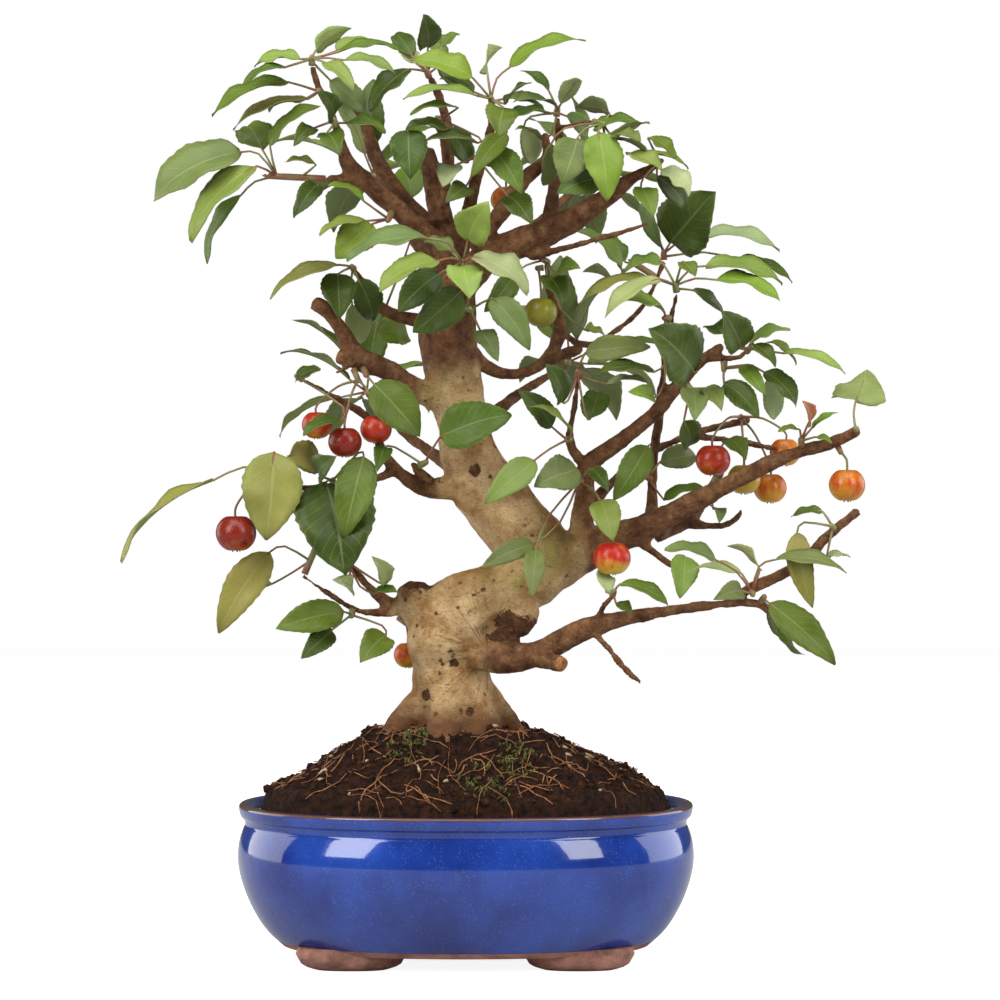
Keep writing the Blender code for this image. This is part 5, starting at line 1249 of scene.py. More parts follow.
def settled_leaf(foot: Vector, tip: Vector, wish: Wish, draw: random.Random, blocked: Sequence[BVHTree],
                 own: Sequence[BVHTree]) -> tuple[LeafPose, BVHTree, BVHTree] | None:
    """Bend a leaf clear of what is round it, swung about its stem a little further at each try.

    Args:
        foot: The foot of its stem.
        tip: The tip of its stem.
        wish: Its base, tip, width and facing as drawn.
        draw: The leaf's own random draws.
        blocked: What the whole leaf keeps clear of.
        own: The blades of the same shoot.

    Returns:
        Its pose, the space of the whole leaf and that of its blade, or nothing where it finds no room.
    """
    base, end, width, face = wish
    wave = RIPPLE * width * draw.choice((-1, 1))
    start = nearest_on(foot, tip, base)
    for attempt in range(TRIES):
        swing = Quaternion(any_way(draw).normalized(), math.radians(SWING * attempt))
        new_base = start + swing @ (base - start)
        new_end = start + swing @ (end - start)
        pose = LeafPose(start, new_base, new_end, width, swing @ face, wave)
        guard = tree_of(blade_shell(pose, GAP))
        blade = tree_of(blade_shell(pose, GAP, stalked=False))
        if not crosses(guard, blocked) and not crosses(blade, own):
            return pose, guard, blade
    return None


def oval(half_length: float, half_depth: float, height: float, sides: int) -> list[Vector]:
    """Return a ring of the pot's rounded oval at one height."""
    ring = []
    for side in range(sides):
        turn = math.tau * (side + 0.5) / sides
        power = 2 / POT_ROUNDNESS
        x = math.copysign(abs(math.cos(turn)) ** power, math.cos(turn)) * half_length
        y = math.copysign(abs(math.sin(turn)) ** power, math.sin(turn)) * half_depth
        ring.append(Vector((POT_AT_X + x, y, height)))
    return ring


def lathe_like(rings: Sequence[Sequence[Vector]]) -> Shell:
    """Return a closed shell through rings of as many points each, with flat ends."""
    sides = len(rings[0])
    points = [point for ring in rings for point in ring]
    last = len(points) - sides
    return Shell(points, [*ring_faces(len(rings), sides), tuple(range(last, len(points)))])


def pot_profile() -> tuple[list[Span], list[Span]]:
    """Return the pot's section, each point a height and an inset: up the outside, and down the inside."""
    outside = [
        (FOOT_HEIGHT, 20.5), (14.0, 12.6), (25.0, 6.0), (36.0, 1.8), (45.0, 0.0), (54.0, 0.6), (60.5, 2.8),
        (62.0, 3.8), (64.8, 2.9), (65.8, 1.3), (POT_HEIGHT - 0.8, 0.5), (POT_HEIGHT, 1.4)]
    inside = [
        (POT_HEIGHT, POT_LIP), (61.0, POT_LIP + 1.0), (44.0, POT_WALL + 0.5), (25.0, POT_WALL + 6.5),
        (FOOT_HEIGHT + POT_FLOOR, POT_WALL + 15.0)]
    return outside, inside


def pot_shell(sides: int) -> Shell:
    """Return the pot's plain wall and floor."""
    outside, inside = pot_profile()
    return lathe_like([oval(POT_LENGTH / 2 - inset, POT_DEPTH / 2 - inset, height, sides)
                       for height, inset in (*outside, *inside)])


def soil_shell() -> Shell:
    """Return the plain form of the soil."""
    _, inside = pot_profile()
    rings = []
    for height, inset in inside[:0:-1]:
        gone = inset + SOIL_GAP
        level = height + (GAP if height == FOOT_HEIGHT + POT_FLOOR else 0)
        rings.append(oval(POT_LENGTH / 2 - gone, POT_DEPTH / 2 - gone, level, SOIL_SIDES))
    draw = random.Random(SEED)
    reach = (POT_LENGTH / 2 - SOIL_INSET, POT_DEPTH / 2 - SOIL_INSET)
    for share, height in MOUND:
        ring = oval(reach[0] * share, reach[1] * share, height, SOIL_SIDES)
        rough = 0.0 if height == SOIL_EDGE else SOIL_ROUGHNESS
        for point in ring:
            point.z += draw.uniform(-rough, rough)
            point.x += (1 - share) * SOIL_LEAN
        rings.append(ring)
    return lathe_like(rings)


def stalk_path(foot: Vector, tip: Vector, centre: Vector, radius: float) -> list[Vector]:
    """Return a fruit's stalk: it leaves the stem and bends down into the fruit's dimple."""
    start = nearest_on(foot, tip, centre)
    end = centre + Vector((0, 0, STALK_END * radius))
    above = centre + Vector((0, 0, STALK_ABOVE * radius))
    middle = (start + above) / 2 + Vector((0, 0, STALK_RISE * (start - above).length))
    return [start, middle, above, end]


class HungBunch(NamedTuple):
    """A bunch with its stem and its fruit in place."""

    bunch: Bunch
    foot: Vector
    tip: Vector
    fruits: list[tuple[Vector, float]]


class LeafyShoot(NamedTuple):
    """A shoot with its stem in place, and each leaf's pose with its index."""

    shoot: Shoot
    foot: Vector
    tip: Vector
    leaves: list[tuple[int, LeafPose]]


def placed_bunches(wood: BVHTree, blocked: Sequence[BVHTree]) -> tuple[list[HungBunch], list[BVHTree]]:
    """Hang every bunch, each fruit moved in depth until it is free.

    Args:
        wood: The wood's search tree.
        blocked: The pot and the soil.

    Returns:
        The bunches, and the spaces that they fill.
    """
    placed: list[HungBunch] = []
    taken: list[BVHTree] = []
    for bunch in BUNCHES:
        foot, tip, guard = stem_of(bunch, wood, [*blocked, *taken])
        fruits, own = [], []
        for fruit in bunch.fruits:
            for attempt in range(TRIES):
                shift = (attempt // 2) * (1 if attempt % 2 else -1)
                centre = seen(fruit.u, fruit.v, fruit.depth + shift)
                radius = fruit.radius * UNIT
                stalk = tube(stalk_path(foot, tip, centre, radius), STALK_RADII, STALK_SIDES, 0.0, GAP)
                hung = [tree_of(fruit_shell(centre, radius, GAP)), tree_of(stalk)]
                near = [wood, *blocked, *taken]
                if not any(crosses(tree, near) for tree in hung) and not crosses(hung[0], own):
                    break
            fruits.append((centre, radius))
            own += hung
        taken += [guard, *own]
        placed.append(HungBunch(bunch, foot, tip, fruits))
    return placed, taken


def placed_shoots(wood: BVHTree, blocked: Sequence[BVHTree]) -> list[LeafyShoot]:
    """Place every shoot's stem and leaves, each leaf clear of the wood, the fruit and the other shoots.

    Args:
        wood: The wood's search tree.
        blocked: The pot, the soil and the fruit.

    Returns:
        The shoots, in the order of their tables.
    """
    placed: list[LeafyShoot] = []
    stems: dict[str, tuple[Vector, Vector, BVHTree]] = {}
    for shoot in (*SHOOTS, *HIDDEN_SHOOTS):
        stems[shoot.name] = stem_of(shoot, wood, [*blocked, *(guard for *_, guard in stems.values())])
    taken = [wood, *blocked]
    for shoot in (*SHOOTS, *HIDDEN_SHOOTS):
        foot, tip, _ = stems[shoot.name]
        others = [guard for name, (*_, guard) in stems.items() if name != shoot.name]
        leaves: list[tuple[int, LeafPose]] = []
        own: list[BVHTree] = []
        blades: list[BVHTree] = []
        for index in range(len(shoot.blades) + shoot.spare):
            draw = random.Random(f"{SEED} {shoot.name} {index}")
            if index < len(shoot.blades):
                wish = drawn_blade(shoot, shoot.blades[index])
            else:
                wish = spare_blade(shoot, foot, tip, index, draw)
            settled = settled_leaf(foot, tip, wish, draw, taken + others, blades)
            if settled:
                leaves.append((index, settled[0]))
                own.append(settled[1])
                blades.append(settled[2])
        taken += own
        placed.append(LeafyShoot(shoot, foot, tip, leaves))
    return placed


def choose(*pieces: Piece) -> None:
    """Select these pieces alone, the first of them active."""
    bpy.ops.object.select_all(action="DESELECT")
    for piece in pieces:
        piece.select_set(True)
    bpy.context.view_layer.objects.active = pieces[0]


def apply_modifier(piece: Piece, kind: str, **settings: object) -> None:
    """Shape a piece with one modifier, for good."""
    choose(piece)
    modifier = piece.modifiers.new(kind.title(), kind)
    for name, value in settings.items():
        setattr(modifier, name, value)
    bpy.ops.object.modifier_apply(modifier=modifier.name)


def join_pieces(name: str, pieces: Sequence[Piece]) -> Piece:
    """Join pieces into the first of them, under a new name."""
    choose(*pieces)
    if len(pieces) > 1:
        bpy.ops.object.join()
    pieces[0].name = pieces[0].data.name = name
    return pieces[0]


def stand(name: str, data: bpy.types.ID) -> Piece:
    """Put a new object with this mesh, light or camera into the scene."""
    holder = bpy.data.objects.new(name, data)
    bpy.context.scene.collection.objects.link(holder)
    return holder


def primitive(kind: str, **settings: object) -> Piece:
    """Add one of Blender's own forms and return it, selected alone."""
    bpy.ops.object.select_all(action="DESELECT")
    getattr(bpy.ops.mesh, f"primitive_{kind}_add")(**settings)
    return bpy.context.active_object


def mesh_piece(name: str, shell: Shell, material: bpy.types.Material | None = None) -> Piece:
    """Make a smooth-shaded object of a shell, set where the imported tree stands."""
    mesh = bpy.data.meshes.new(name)
    mesh.from_pydata([(point + SHIFT) * MM for point in shell.points], [], shell.faces)
    mesh.polygons.foreach_set("use_smooth", [True] * len(mesh.polygons))
    if material:
        mesh.materials.append(material)
    return stand(name, mesh)


def skinned(name: str, shell: Shell, voxel: float, smoothings: int) -> Piece:
    """Grow a shell, which may run through itself, into one smoothed skin."""
    piece = mesh_piece(name, shell)
    apply_modifier(piece, "REMESH", mode="VOXEL", voxel_size=voxel * MM, use_smooth_shade=True)
    apply_modifier(piece, "SMOOTH", factor=0.5, iterations=smoothings)
    return piece


def swell(piece: Piece, name: str, size: float, strength: float, depth: int = 2,
          group: str = "") -> None:
    """Swell a piece in cloudy lumps.

    Args:
        piece: The piece.
        name: What the lumps are called.
        size: How large they are, in millimetres.
        strength: How far they rise, in millimetres.
        depth: How many finer patterns go into them.
        group: The piece's group of points that they keep to, or nothing for the whole piece.
    """
    texture = bpy.data.textures.new(name, "CLOUDS")
    texture.noise_scale = size * MM
    texture.noise_depth = depth
    apply_modifier(piece, "DISPLACE", texture=texture, strength=strength * MM, mid_level=0.5,
                   vertex_group=group)


def set_attribute(piece: Piece, name: str, values: object) -> None:
    """Give every point of a piece a value or a colour, or each its own from an array.

    Args:
        piece: The piece.
        name: The attribute's name.
        values: One number, one colour, or an array of numbers with one for each point.
    """
    mesh = piece.data
    count = len(mesh.vertices)
    coloured = isinstance(values, tuple)
    attribute = mesh.attributes.new(name, "FLOAT_COLOR" if coloured else "FLOAT", "POINT")
    if coloured:
        attribute.data.foreach_set("color", np.tile((*values, 1.0), count))
    else:
        attribute.data.foreach_set("value", np.broadcast_to(values, count).astype(np.float32))


def raw_points(piece: Piece) -> np.ndarray:
    """Return a piece's points as rows, as its mesh holds them."""
    flat = np.empty(len(piece.data.vertices) * 3)
    piece.data.vertices.foreach_get("co", flat)
    return flat.reshape(-1, 3)


def points_of(piece: Piece) -> np.ndarray:
    """Return a piece's points as rows, in millimetres from the tree's own origin."""
    return raw_points(piece) / MM - np.array(SHIFT)


def move_points(piece: Piece, points: np.ndarray) -> None:
    """Put a piece's points at these places, in millimetres from the tree's own origin."""
    piece.data.vertices.foreach_set("co", ((points + np.array(SHIFT)) * MM).ravel())
    piece.data.update()


def normals_of(piece: Piece) -> np.ndarray:
    """Return the way each point of a piece faces, as rows."""
    flat = np.empty(len(piece.data.vertices) * 3, np.float32)
    piece.data.vertex_normals.foreach_get("vector", flat)
    return flat.reshape(-1, 3)


def curved(points: Sequence[Vector], values: Sequence[float], steps: int) -> tuple[list[Vector], list[float]]:
    """Run a smooth curve through points, with a value that changes smoothly along it.

    Args:
        points: The points that it passes through.
        values: The value at each of them.
        steps: How many pieces each stretch is cut into.

    Returns:
        The curve's points and the values there.
    """
    rows = [np.array((*point, value)) for point, value in zip(points, values)]
    rows = [2 * rows[0] - rows[1], *rows, 2 * rows[-1] - rows[-2]]
    found = []
    for before, start, end, after in zip(rows, rows[1:], rows[2:], rows[3:]):
        for step in range(steps):
            t = step / steps
            found.append(0.5 * (2 * start + (end - before) * t
                                + (2 * before - 5 * start + 4 * end - after) * t * t
                                + (3 * start - before - 3 * end + after) * t ** 3))
    found.append(rows[-2])
    return [Vector(row[:3]) for row in found], [float(max(row[3], LEAST_VALUE)) for row in found]


def keep(piece: Piece, slot: str, *nodes: str) -> Piece:
    """Attach a finished piece to the root, hide the parts that it stands for and log its faces; the material
    slot is not used.
    """
    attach(piece, "root")
    if nodes:
        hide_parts(*nodes)
    log.info("%s: %d faces", piece.name, len(piece.data.polygons))
    return piece


class Mark(NamedTuple):
    """A place on the wood, in the front picture's units, with its size and depth in millimetres."""

    u: float
    v: float
    depth: float
    size: float
    deep: float


@dataclass
class Wood:
    """The roots, trunk and limbs as one grown form."""

    sides: int = 16
    steps: int = 4
    voxel: float = 1.1
    smoothings: int = 5
    old_reach: float = 12.0
    old_margin: float = 2.0
    pale_from: float = 400.0
    brown_above: float = 335.0
    relief: tuple[tuple[str, float, float], ...] = (
        ("lumps", 16.0, 1.7), ("knobs", 6.0, 0.9), ("bark", 2.2, 0.45))
    scars: tuple[Mark, ...] = (
        Mark(475, 592, -17, 2.6, 0.7), Mark(455, 664, -18, 2.4, 0.9), Mark(425, 695, -14, 2.6, 0.8),
        Mark(470, 712, -20, 2.4, 0.8), Mark(520, 630, -8, 10.0, 2.6), Mark(417, 580, -6, 8.0, 0.0),
        Mark(497, 640, -12, 6.0, 1.4), Mark(475, 470, -14, 3.0, 0.5), Mark(508, 622, -12, 6.0, 1.2),
        Mark(426, 478, -8, 7.0, 0.0), Mark(560, 600, -10, 3.0, 0.6))
    cuts: tuple[Mark, ...] = (Mark(566, 665, -36, 5.5, 0.0),)
    joint: Mark = Mark(488, 652, -14, 24.0, 0.0)
    dirt_reach: float = 16.0
    greens: tuple[Mark, ...] = (
        Mark(560, 560, -12, 17.0, 0.0), Mark(438, 365, -8, 15.0, 0.0), Mark(520, 585, -12, 16.0, 0.0))

    def fine_limb(self, limb: Limb) -> Shell:
        """Return one limb as a smooth tube with many sides."""
        path, radii = curved(*limb_path(limb), self.steps)
        return tube(path, radii, self.sides, lobes_of(limb), 0.0, 1 / self.steps)

    def build(self) -> Piece:
        """Grow the limbs into one skin, then roughen it and press its hollows."""
        limbs = joined(self.fine_limb(limb) for limb in (TRUNK, *ROOTS, *LIMBS))
        piece = skinned("tree_bark", limbs, self.voxel, self.smoothings)
        for name, size, strength in self.relief:
            swell(piece, name, size, strength)
        self.mark(piece)
        return piece

    def mark(self, piece: Piece) -> None:
        """Press the hollows in, and keep how old, how green and how scarred each point is."""
        points = points_of(piece)
        scar, push = self.spots(points, self.scars)
        move_points(piece, points - normals_of(piece) * push[:, None])
        green, _ = self.spots(points, self.greens)
        cut, _ = self.spots(points, self.cuts)
        dirt = np.clip((SOIL_TOP + self.dirt_reach - points[:, 2]) / self.dirt_reach, 0, 1)
        away = points - np.array(seen(self.joint.u, self.joint.v, self.joint.depth))
        fan = np.arctan2(away[:, 2], -away[:, 0])
        fan_share = self.spots(points, (self.joint,))[0] * (away[:, 0] < 0)
        for name, values in (("scar", scar), ("cut", cut), ("green", green), ("age", self.ages(points)),
                             ("dirt", dirt), ("fan", fan), ("fan_share", fan_share)):
            set_attribute(piece, name, values)

    def spots(self, points: np.ndarray, marks: Sequence[Mark]) -> tuple[np.ndarray, np.ndarray]:
        """Return how far each point lies in any of the marks, from 0 to 1, and how deep they press it."""
        share = np.zeros(len(points))
        push = np.zeros(len(points))
        for mark in marks:
            away = np.linalg.norm(points - np.array(seen(mark.u, mark.v, mark.depth)), axis=1)
            here = np.exp(-(away / mark.size) ** 2)
            share = np.maximum(share, here)
            push = np.maximum(push, here * mark.deep)
        return share, push

    def ages(self, points: np.ndarray) -> np.ndarray:
        """Return 1 on the old trunk and 0 on the young limbs, with a soft change between them."""
        path, radii = curved(*limb_path(TRUNK), self.steps)
        beyond = np.full(len(points), np.inf)
        for centre, radius in zip(path, radii):
            beyond = np.minimum(beyond, np.linalg.norm(points - np.array(centre), axis=1) - radius)
        near = np.clip(1 - (beyond - self.old_margin) / self.old_reach, 0, 1)
        top = EYE_HEIGHT - (self.brown_above - PICTURE_MIDDLE) * UNIT
        low = EYE_HEIGHT - (self.pale_from - PICTURE_MIDDLE) * UNIT
        old = np.clip((top - points[:, 2]) / (top - low), 0, 1)
        return near * old

    def dress(self, piece: Piece) -> None:
        """Give the wood its bark."""
        piece.data.materials.append(BarkFinish("bark").build())
        keep(piece, "bark", "tree_wood")


@dataclass
class Foliage:
    """Every leafy shoot: toothed, folded leaves on reddish stalks."""

    across: int = 6
    along: int = 18
    thickness: float = 0.4
    teeth: float = 0.025
    toothed_from: float = 0.95
    outline_power: float = 0.74
    least_width: float = 0.035
    fold_power: float = 1.25
    waves: Span = (1.2, 2.0)
    edge_waves: float = 2.6
    curl_from: float = 0.7
    tip_curl: float = 0.04
    sway: float = 0.03
    stalk_radius: float = 0.5
    stalk_foot: float = 1.25
    rib_radius: float = 0.34
    rib_taper: float = 0.8
    rib_parts: tuple[float, ...] = (0.2, 0.4, 0.6, 0.78)
    stem_radii: tuple[float, float, float] = (1.1, 0.9, 0.5)
    bud_length: float = 1.2
    light: Span = (0.82, 1.2)
    redness: Span = (0.9, 1.15)
    blueness: Span = (0.85, 1.15)

    def __post_init__(self) -> None:
        """Make the leaf that the others are copied from, and the finishes."""
        self.upper = LeafFinish("leaf top").build()
        self.lower = LeafFinish("leaf underside", 0.6, 0.15, under=True).build()
        self.stalk = StalkFinish("leaf stalk").build()
        self.template = self.plain_leaf()
        grid = raw_points(self.template)
        self.side_share = grid[:, 0] * 2
        self.part = np.clip(grid[:, 1] + 0.5, 0, 1)
        self.layer = np.sign(grid[:, 2])

    def plain_leaf(self) -> Piece:
        """Return a flat unit leaf with a top, an underside and its map across and along."""
        leaf = primitive("grid", x_subdivisions=self.across, y_subdivisions=self.along, size=1, calc_uvs=True)
        leaf.data.materials.append(self.upper)
        leaf.data.materials.append(self.lower)
        apply_modifier(leaf, "SOLIDIFY", thickness=0.1, offset=0.0, material_offset=1, use_even_offset=False)
        bpy.ops.object.shade_smooth()
        return leaf

    def outline(self) -> np.ndarray:
        """Return how wide the leaf is at each point of the unit leaf, with its teeth."""
        full = np.sin(math.pi * self.part ** self.outline_power) ** self.outline_power
        rows = np.round(self.part * self.along)
        edge = np.abs(self.side_share) > self.toothed_from
        toothed = 1 + self.teeth * np.where(rows % 2 == 0, 1, -1) * edge
        return np.maximum(full * toothed, self.least_width)

    def leaf(self, pose: LeafPose, draw: random.Random) -> Piece:
        """Return one leaf's blade, bent to its pose."""
        along, upper, side, length = leaf_axes(pose)
        half = pose.width / 2 * self.outline()
        part, share = self.part, self.side_share
        rise = 4 * part * (1 - part) * LEAF_ARCH * length
        rise += LEAF_FOLD * half * np.abs(share) ** self.fold_power
        phase = draw.uniform(0, math.tau)
        waves = draw.uniform(*self.waves)
        rise += pose.wave * share * np.sin(math.tau * waves * part + phase)
        rise += pose.wave / 2 * np.abs(share) * np.sin(math.tau * self.edge_waves * part + 2 * phase)
        rise -= self.tip_curl * length * np.clip((part - self.curl_from) / (1 - self.curl_from), 0, 1) ** 2
        rise += self.layer * self.thickness / 2 * np.clip(half / 2, self.thickness, 1)
        sway = draw.uniform(-self.sway, self.sway) * length * np.sin(math.pi * part)
        points = (np.array(pose.base) + np.outer(part * length, along) + np.outer(share * half + sway, side)
                  + np.outer(rise, upper))
        piece = stand("blade", self.template.data.copy())
        low, high = (np.array(corner) / MM - np.array(SHIFT) for corner in CAD_BOX)
        move_points(piece, np.clip(points, low, high))
        return piece

    def stalk_and_rib(self, pose: LeafPose) -> Piece:
        """Return a leaf's stalk, which runs on under the blade as its midrib."""
        along, upper, _, length = leaf_axes(pose)
        elbow = stalk_bend(pose)
        path = [pose.start, *([elbow] if elbow else []), pose.base]
        radii = [self.stalk_radius * self.stalk_foot] + [self.stalk_radius] * (len(path) - 1)
        for part in self.rib_parts:
            lift = 4 * part * (1 - part) * LEAF_ARCH * length - self.thickness / 2
            path.append(pose.base + along * length * part + upper * lift)
            radii.append(self.rib_radius * (1 - self.rib_taper * part))
        return mesh_piece("stalk", tube(*curved(path, radii, 2), 5), self.stalk)

    def tone_of(self, shoot: Shoot, index: int, draw: random.Random) -> Colour:
        """Return one leaf's green with its painted light, a little off its named tone."""
        letters = SHOOT_TONES.get(shoot.name, SPARE_TONES)
        red, green, blue = TONE_LETTERS[letters[index % len(letters)]]
        light = draw.uniform(*self.light)
        return (red * light * draw.uniform(*self.redness), green * light,
                blue * light * draw.uniform(*self.blueness))

    def dress(self, placed: LeafyShoot) -> None:
        """Make one whole shoot: stem, bud, leaves and stalks."""
        shoot, foot, tip, leaves = placed
        radii = [SHOOT_RADIUS * share for share in self.stem_radii]
        beyond = tip + (tip - foot).normalized() * self.bud_length
        parts = [mesh_piece("stem", tube(*curved([foot, tip, beyond], radii, 3), 8, 0.05), self.stalk)]
        set_attribute(parts[0], "tone", Tone.RED.value)
        for index, pose in leaves:
            draw = random.Random(f"{shoot.name} looks {index}")
            blade = self.leaf(pose, draw)
            # The tone holds the leaf's painted shade, sheen and glow as well as its green.
            set_attribute(blade, "tone", self.tone_of(shoot, index, draw))
            parts += [blade, self.stalk_and_rib(pose)]
        keep(join_pieces(f"leaves_{shoot.name}", parts), "leaf", f"shoot_{shoot.name}")

    def clear(self) -> None:
        """Take away the leaf that the others were copied from."""
        bpy.data.objects.remove(self.template)


@dataclass
class Crop:
    """The crabapples, each with its dimple, its stalk and the dry remains of its flower."""

    segments: int = 28
    rings: int = 18
    stalk_radius: float = 0.55
    stalk_foot: float = 1.3
    paler_below: float = 0.3
    tall: float = 0.92
    wide: float = 0.97
    dimple: Span = (0.24, 0.30)
    eye: Span = (0.12, 0.28)
    rib: float = 0.018
    sepals: int = 5
    sepal_foot: float = 0.76
    sepal_reach: float = 0.16
    sepal_hang: float = 0.14
    sepal_radii: tuple[float, float, float] = (0.6, 0.55, 0.15)

    def __post_init__(self) -> None:
        """Make the finishes."""
        self.skin = SkinFinish("crabapple skin").build()
        self.stalk = StalkFinish("fruit stalk", colour=(0.20, 0.19, 0.06), flush=(0.20, 0.07, 0.04)).build()
        self.dry = EarthFinish("dry flower", 0.9, light=(0.14, 0.08, 0.04), dark=(0.02, 0.012, 0.008)).build()

    def apple(self, centre: Vector, radius: float, ripe: Ripeness) -> Piece:
        """Return one crabapple, a little wider than tall, dimpled at both ends."""
        piece = primitive("uv_sphere", segments=self.segments, ring_count=self.rings, radius=1)
        x, y, z = raw_points(piece).T
        out, turn = np.hypot(x, y), np.arctan2(y, x)
        dimple, eye = (deep * np.exp(-(out / reach) ** 2) for deep, reach in (self.dimple, self.eye))
        height = self.tall * z - np.where(z > 0, dimple, -eye)
        below = np.clip(-z, 0, 1)
        wide = self.wide * (1 + self.rib * np.cos(self.sepals * turn) * below)
        move_points(piece, np.column_stack((x * wide, y * wide, height)) * radius + np.array(centre))
        bpy.ops.object.shade_smooth()
        piece.data.materials.append(self.skin)
        ground, blush, share = ripe.value
        shares = share - self.paler_below * below
        for name, value in (("ground", ground), ("blush", blush), ("share", shares)):
            set_attribute(piece, name, value)
        return piece

    def calyx(self, centre: Vector, radius: float) -> Piece:
        """Return the dry sepals in the fruit's lower dimple."""
        middle = centre + Vector((0, 0, -self.sepal_foot * radius))
        hang = Vector((0, 0, -self.sepal_hang * radius))
        shells = []
        for sepal in range(self.sepals):
            turn = math.tau * sepal / self.sepals
            out = Vector((math.cos(turn), math.sin(turn), 0)) * self.sepal_reach * radius
            shells.append(tube([middle, middle + out, middle + 1.25 * out + hang], self.sepal_radii, 5))
        return mesh_piece("calyx", joined(shells), self.dry)

    def dress(self, hung: HungBunch) -> None:
        """Make one whole bunch: spur, stalks and fruit."""
        bunch, foot, tip, fruits = hung
        parts = []
        for (centre, radius), ripe in zip(fruits, BUNCH_RIPENESS[bunch.name]):
            parts += [self.apple(centre, radius, ripe), self.calyx(centre, radius)]
            path = stalk_path(foot, tip, centre, radius)
            radii = [self.stalk_radius * self.stalk_foot] + [self.stalk_radius] * (len(path) - 1)
            parts.append(mesh_piece("stalk", tube(*curved(path, radii, 4), 6), self.stalk))
        parts.append(mesh_piece("spur", tube([foot, tip], [SHOOT_RADIUS, SHOOT_RADIUS * STEM_TAPER], 8),
                                self.stalk))
        keep(join_pieces(f"crab_{bunch.name.removeprefix('fruit_')}", parts), "fruit", bunch.name)


@dataclass
class Ground:
    """The soil: a rough mound with crumbs, fibres, chips and a little moss on it."""

    voxel: float = 1.6
    smoothings: int = 6
    clods: tuple[tuple[str, float, float], ...] = (("clods", 9.0, 6.5), ("lumps", 3.5, 2.6))
    smooth_rim: float = 10.0
    rim_fade: float = 6.0
    rough_above: float = 68.5
    rough_rise: float = 6.0
    facing_up: float = 0.2
    strewn_rim: float = 12.5
    sky: float = 200.0
    crumbs: int = 1700
    small_share: float = 0.75
    small_crumb: Span = (0.5, 1.1)
    large_crumb: Span = (1.2, 2.4)
    uneven: Span = (0.6, 1.25)
    fibres: int = 300
    fibre_length: Span = (6.0, 26.0)
    fibre_steps: int = 5
    fibre_bend: float = 0.9
    fibre_lift: Span = (0.5, 0.9)
    fibre_radius: Span = (0.14, 0.36)
    chips: int = 45
    chip_length: Span = (1.5, 4.5)
    tufts: int = 240
    tuft_height: Span = (1.2, 2.6)
    moss_at: tuple[Triple, ...] = ((-6.0, -52.0, 13.0), (-42.0, -30.0, 10.0), (8.0, -38.0, 9.0))

    def build(self) -> Piece:
        """Shape the mound and roughen what isn't against the pot."""
        piece = skinned("soil_mound", soil_shell(), self.voxel, self.smoothings)
        x, y, z = points_of(piece).T
        reach = ((x - POT_AT_X) / (POT_LENGTH / 2 - self.smooth_rim)) ** 2 \
            + (y / (POT_DEPTH / 2 - self.smooth_rim)) ** 2
        share = np.clip((z - self.rough_above) / self.rough_rise, 0, 1)
        share *= np.clip((1 - reach) * self.rim_fade, 0, 1) * (normals_of(piece)[:, 2] > self.facing_up)
        group = piece.vertex_groups.new(name="open")
        for index in np.flatnonzero(share > 0.01):
            group.add([int(index)], float(share[index]), "REPLACE")
        for name, size, strength in self.clods:
            swell(piece, name, size, strength, 3, "open")
        piece.vertex_groups.clear()
        return piece

    def below(self, surface: BVHTree, x: float, y: float) -> tuple[Vector | None, Vector | None]:
        """Return the place on the mound under the sky at x and y, and the way the soil faces there."""
        return surface.ray_cast(Vector((x, y, self.sky)), Vector((0, 0, -1)))[:2]

    def spots(self, surface: BVHTree, count: int, draw: random.Random,
              middle: Triple | None = None) -> list[tuple[Vector, Vector]]:
        """Draw places on the mound's open top.

        Args:
            surface: The mound's search tree, in millimetres.
            count: How many places to draw.
            draw: Where the random draws come from.
            middle: The middle and radius of the patch that they keep to, or nothing for the whole top.

        Returns:
            Each place and the way the soil faces there.
        """
        found: list[tuple[Vector, Vector]] = []
        while len(found) < count:
            turn, share = draw.uniform(0, math.tau), math.sqrt(draw.random())
            if middle:
                x = middle[0] + middle[2] * share * math.cos(turn)
                y = middle[1] + middle[2] * share * math.sin(turn)
            else:
                x = POT_AT_X + (POT_LENGTH / 2 - self.strewn_rim) * share * math.cos(turn)
                y = (POT_DEPTH / 2 - self.strewn_rim) * share * math.sin(turn)
            place, facing = self.below(surface, x, y)
            if place:
                found.append((place, facing))
        return found

    def dress(self, piece: Piece) -> None:
        """Cover the mound and enter it with all that lies on it."""
        mesh = piece.data
        mesh.materials.append(EarthFinish("soil").build())
        points = [Vector(row) for row in points_of(piece)]
        surface = BVHTree.FromPolygons(points, [tuple(face.vertices) for face in mesh.polygons])
        keep(piece, "soil", "soil")
        keep(self.crumb_layer(surface), "soil")
        keep(self.fibre_layer(surface), "soil")
        keep(self.chip_layer(surface), "soil")
        keep(self.moss_layer(surface), "soil")

    def crumb_layer(self, surface: BVHTree) -> Piece:
        """Return the loose crumbs of soil."""
        draw = random.Random(SEED + 1)
        crumb = primitive("ico_sphere", subdivisions=1, radius=1)
        corners = [point.co.copy() for point in crumb.data.vertices]
        faces = [tuple(face.vertices) for face in crumb.data.polygons]
        bpy.data.objects.remove(crumb)
        shells = []
        for place, _ in self.spots(surface, self.crumbs, draw):
            size = draw.uniform(*(self.small_crumb if draw.random() < self.small_share else self.large_crumb))
            turned = Quaternion(any_way(draw).normalized(), draw.uniform(0, 6))
            points = [place + size * (turned @ (corner * draw.uniform(*self.uneven))) for corner in corners]
            shells.append(Shell(points, faces))
        return mesh_piece("soil_crumbs", joined(shells), EarthFinish(
            "crumb", light=(0.065, 0.024, 0.011), dark=(0.008, 0.004, 0.002)).build())

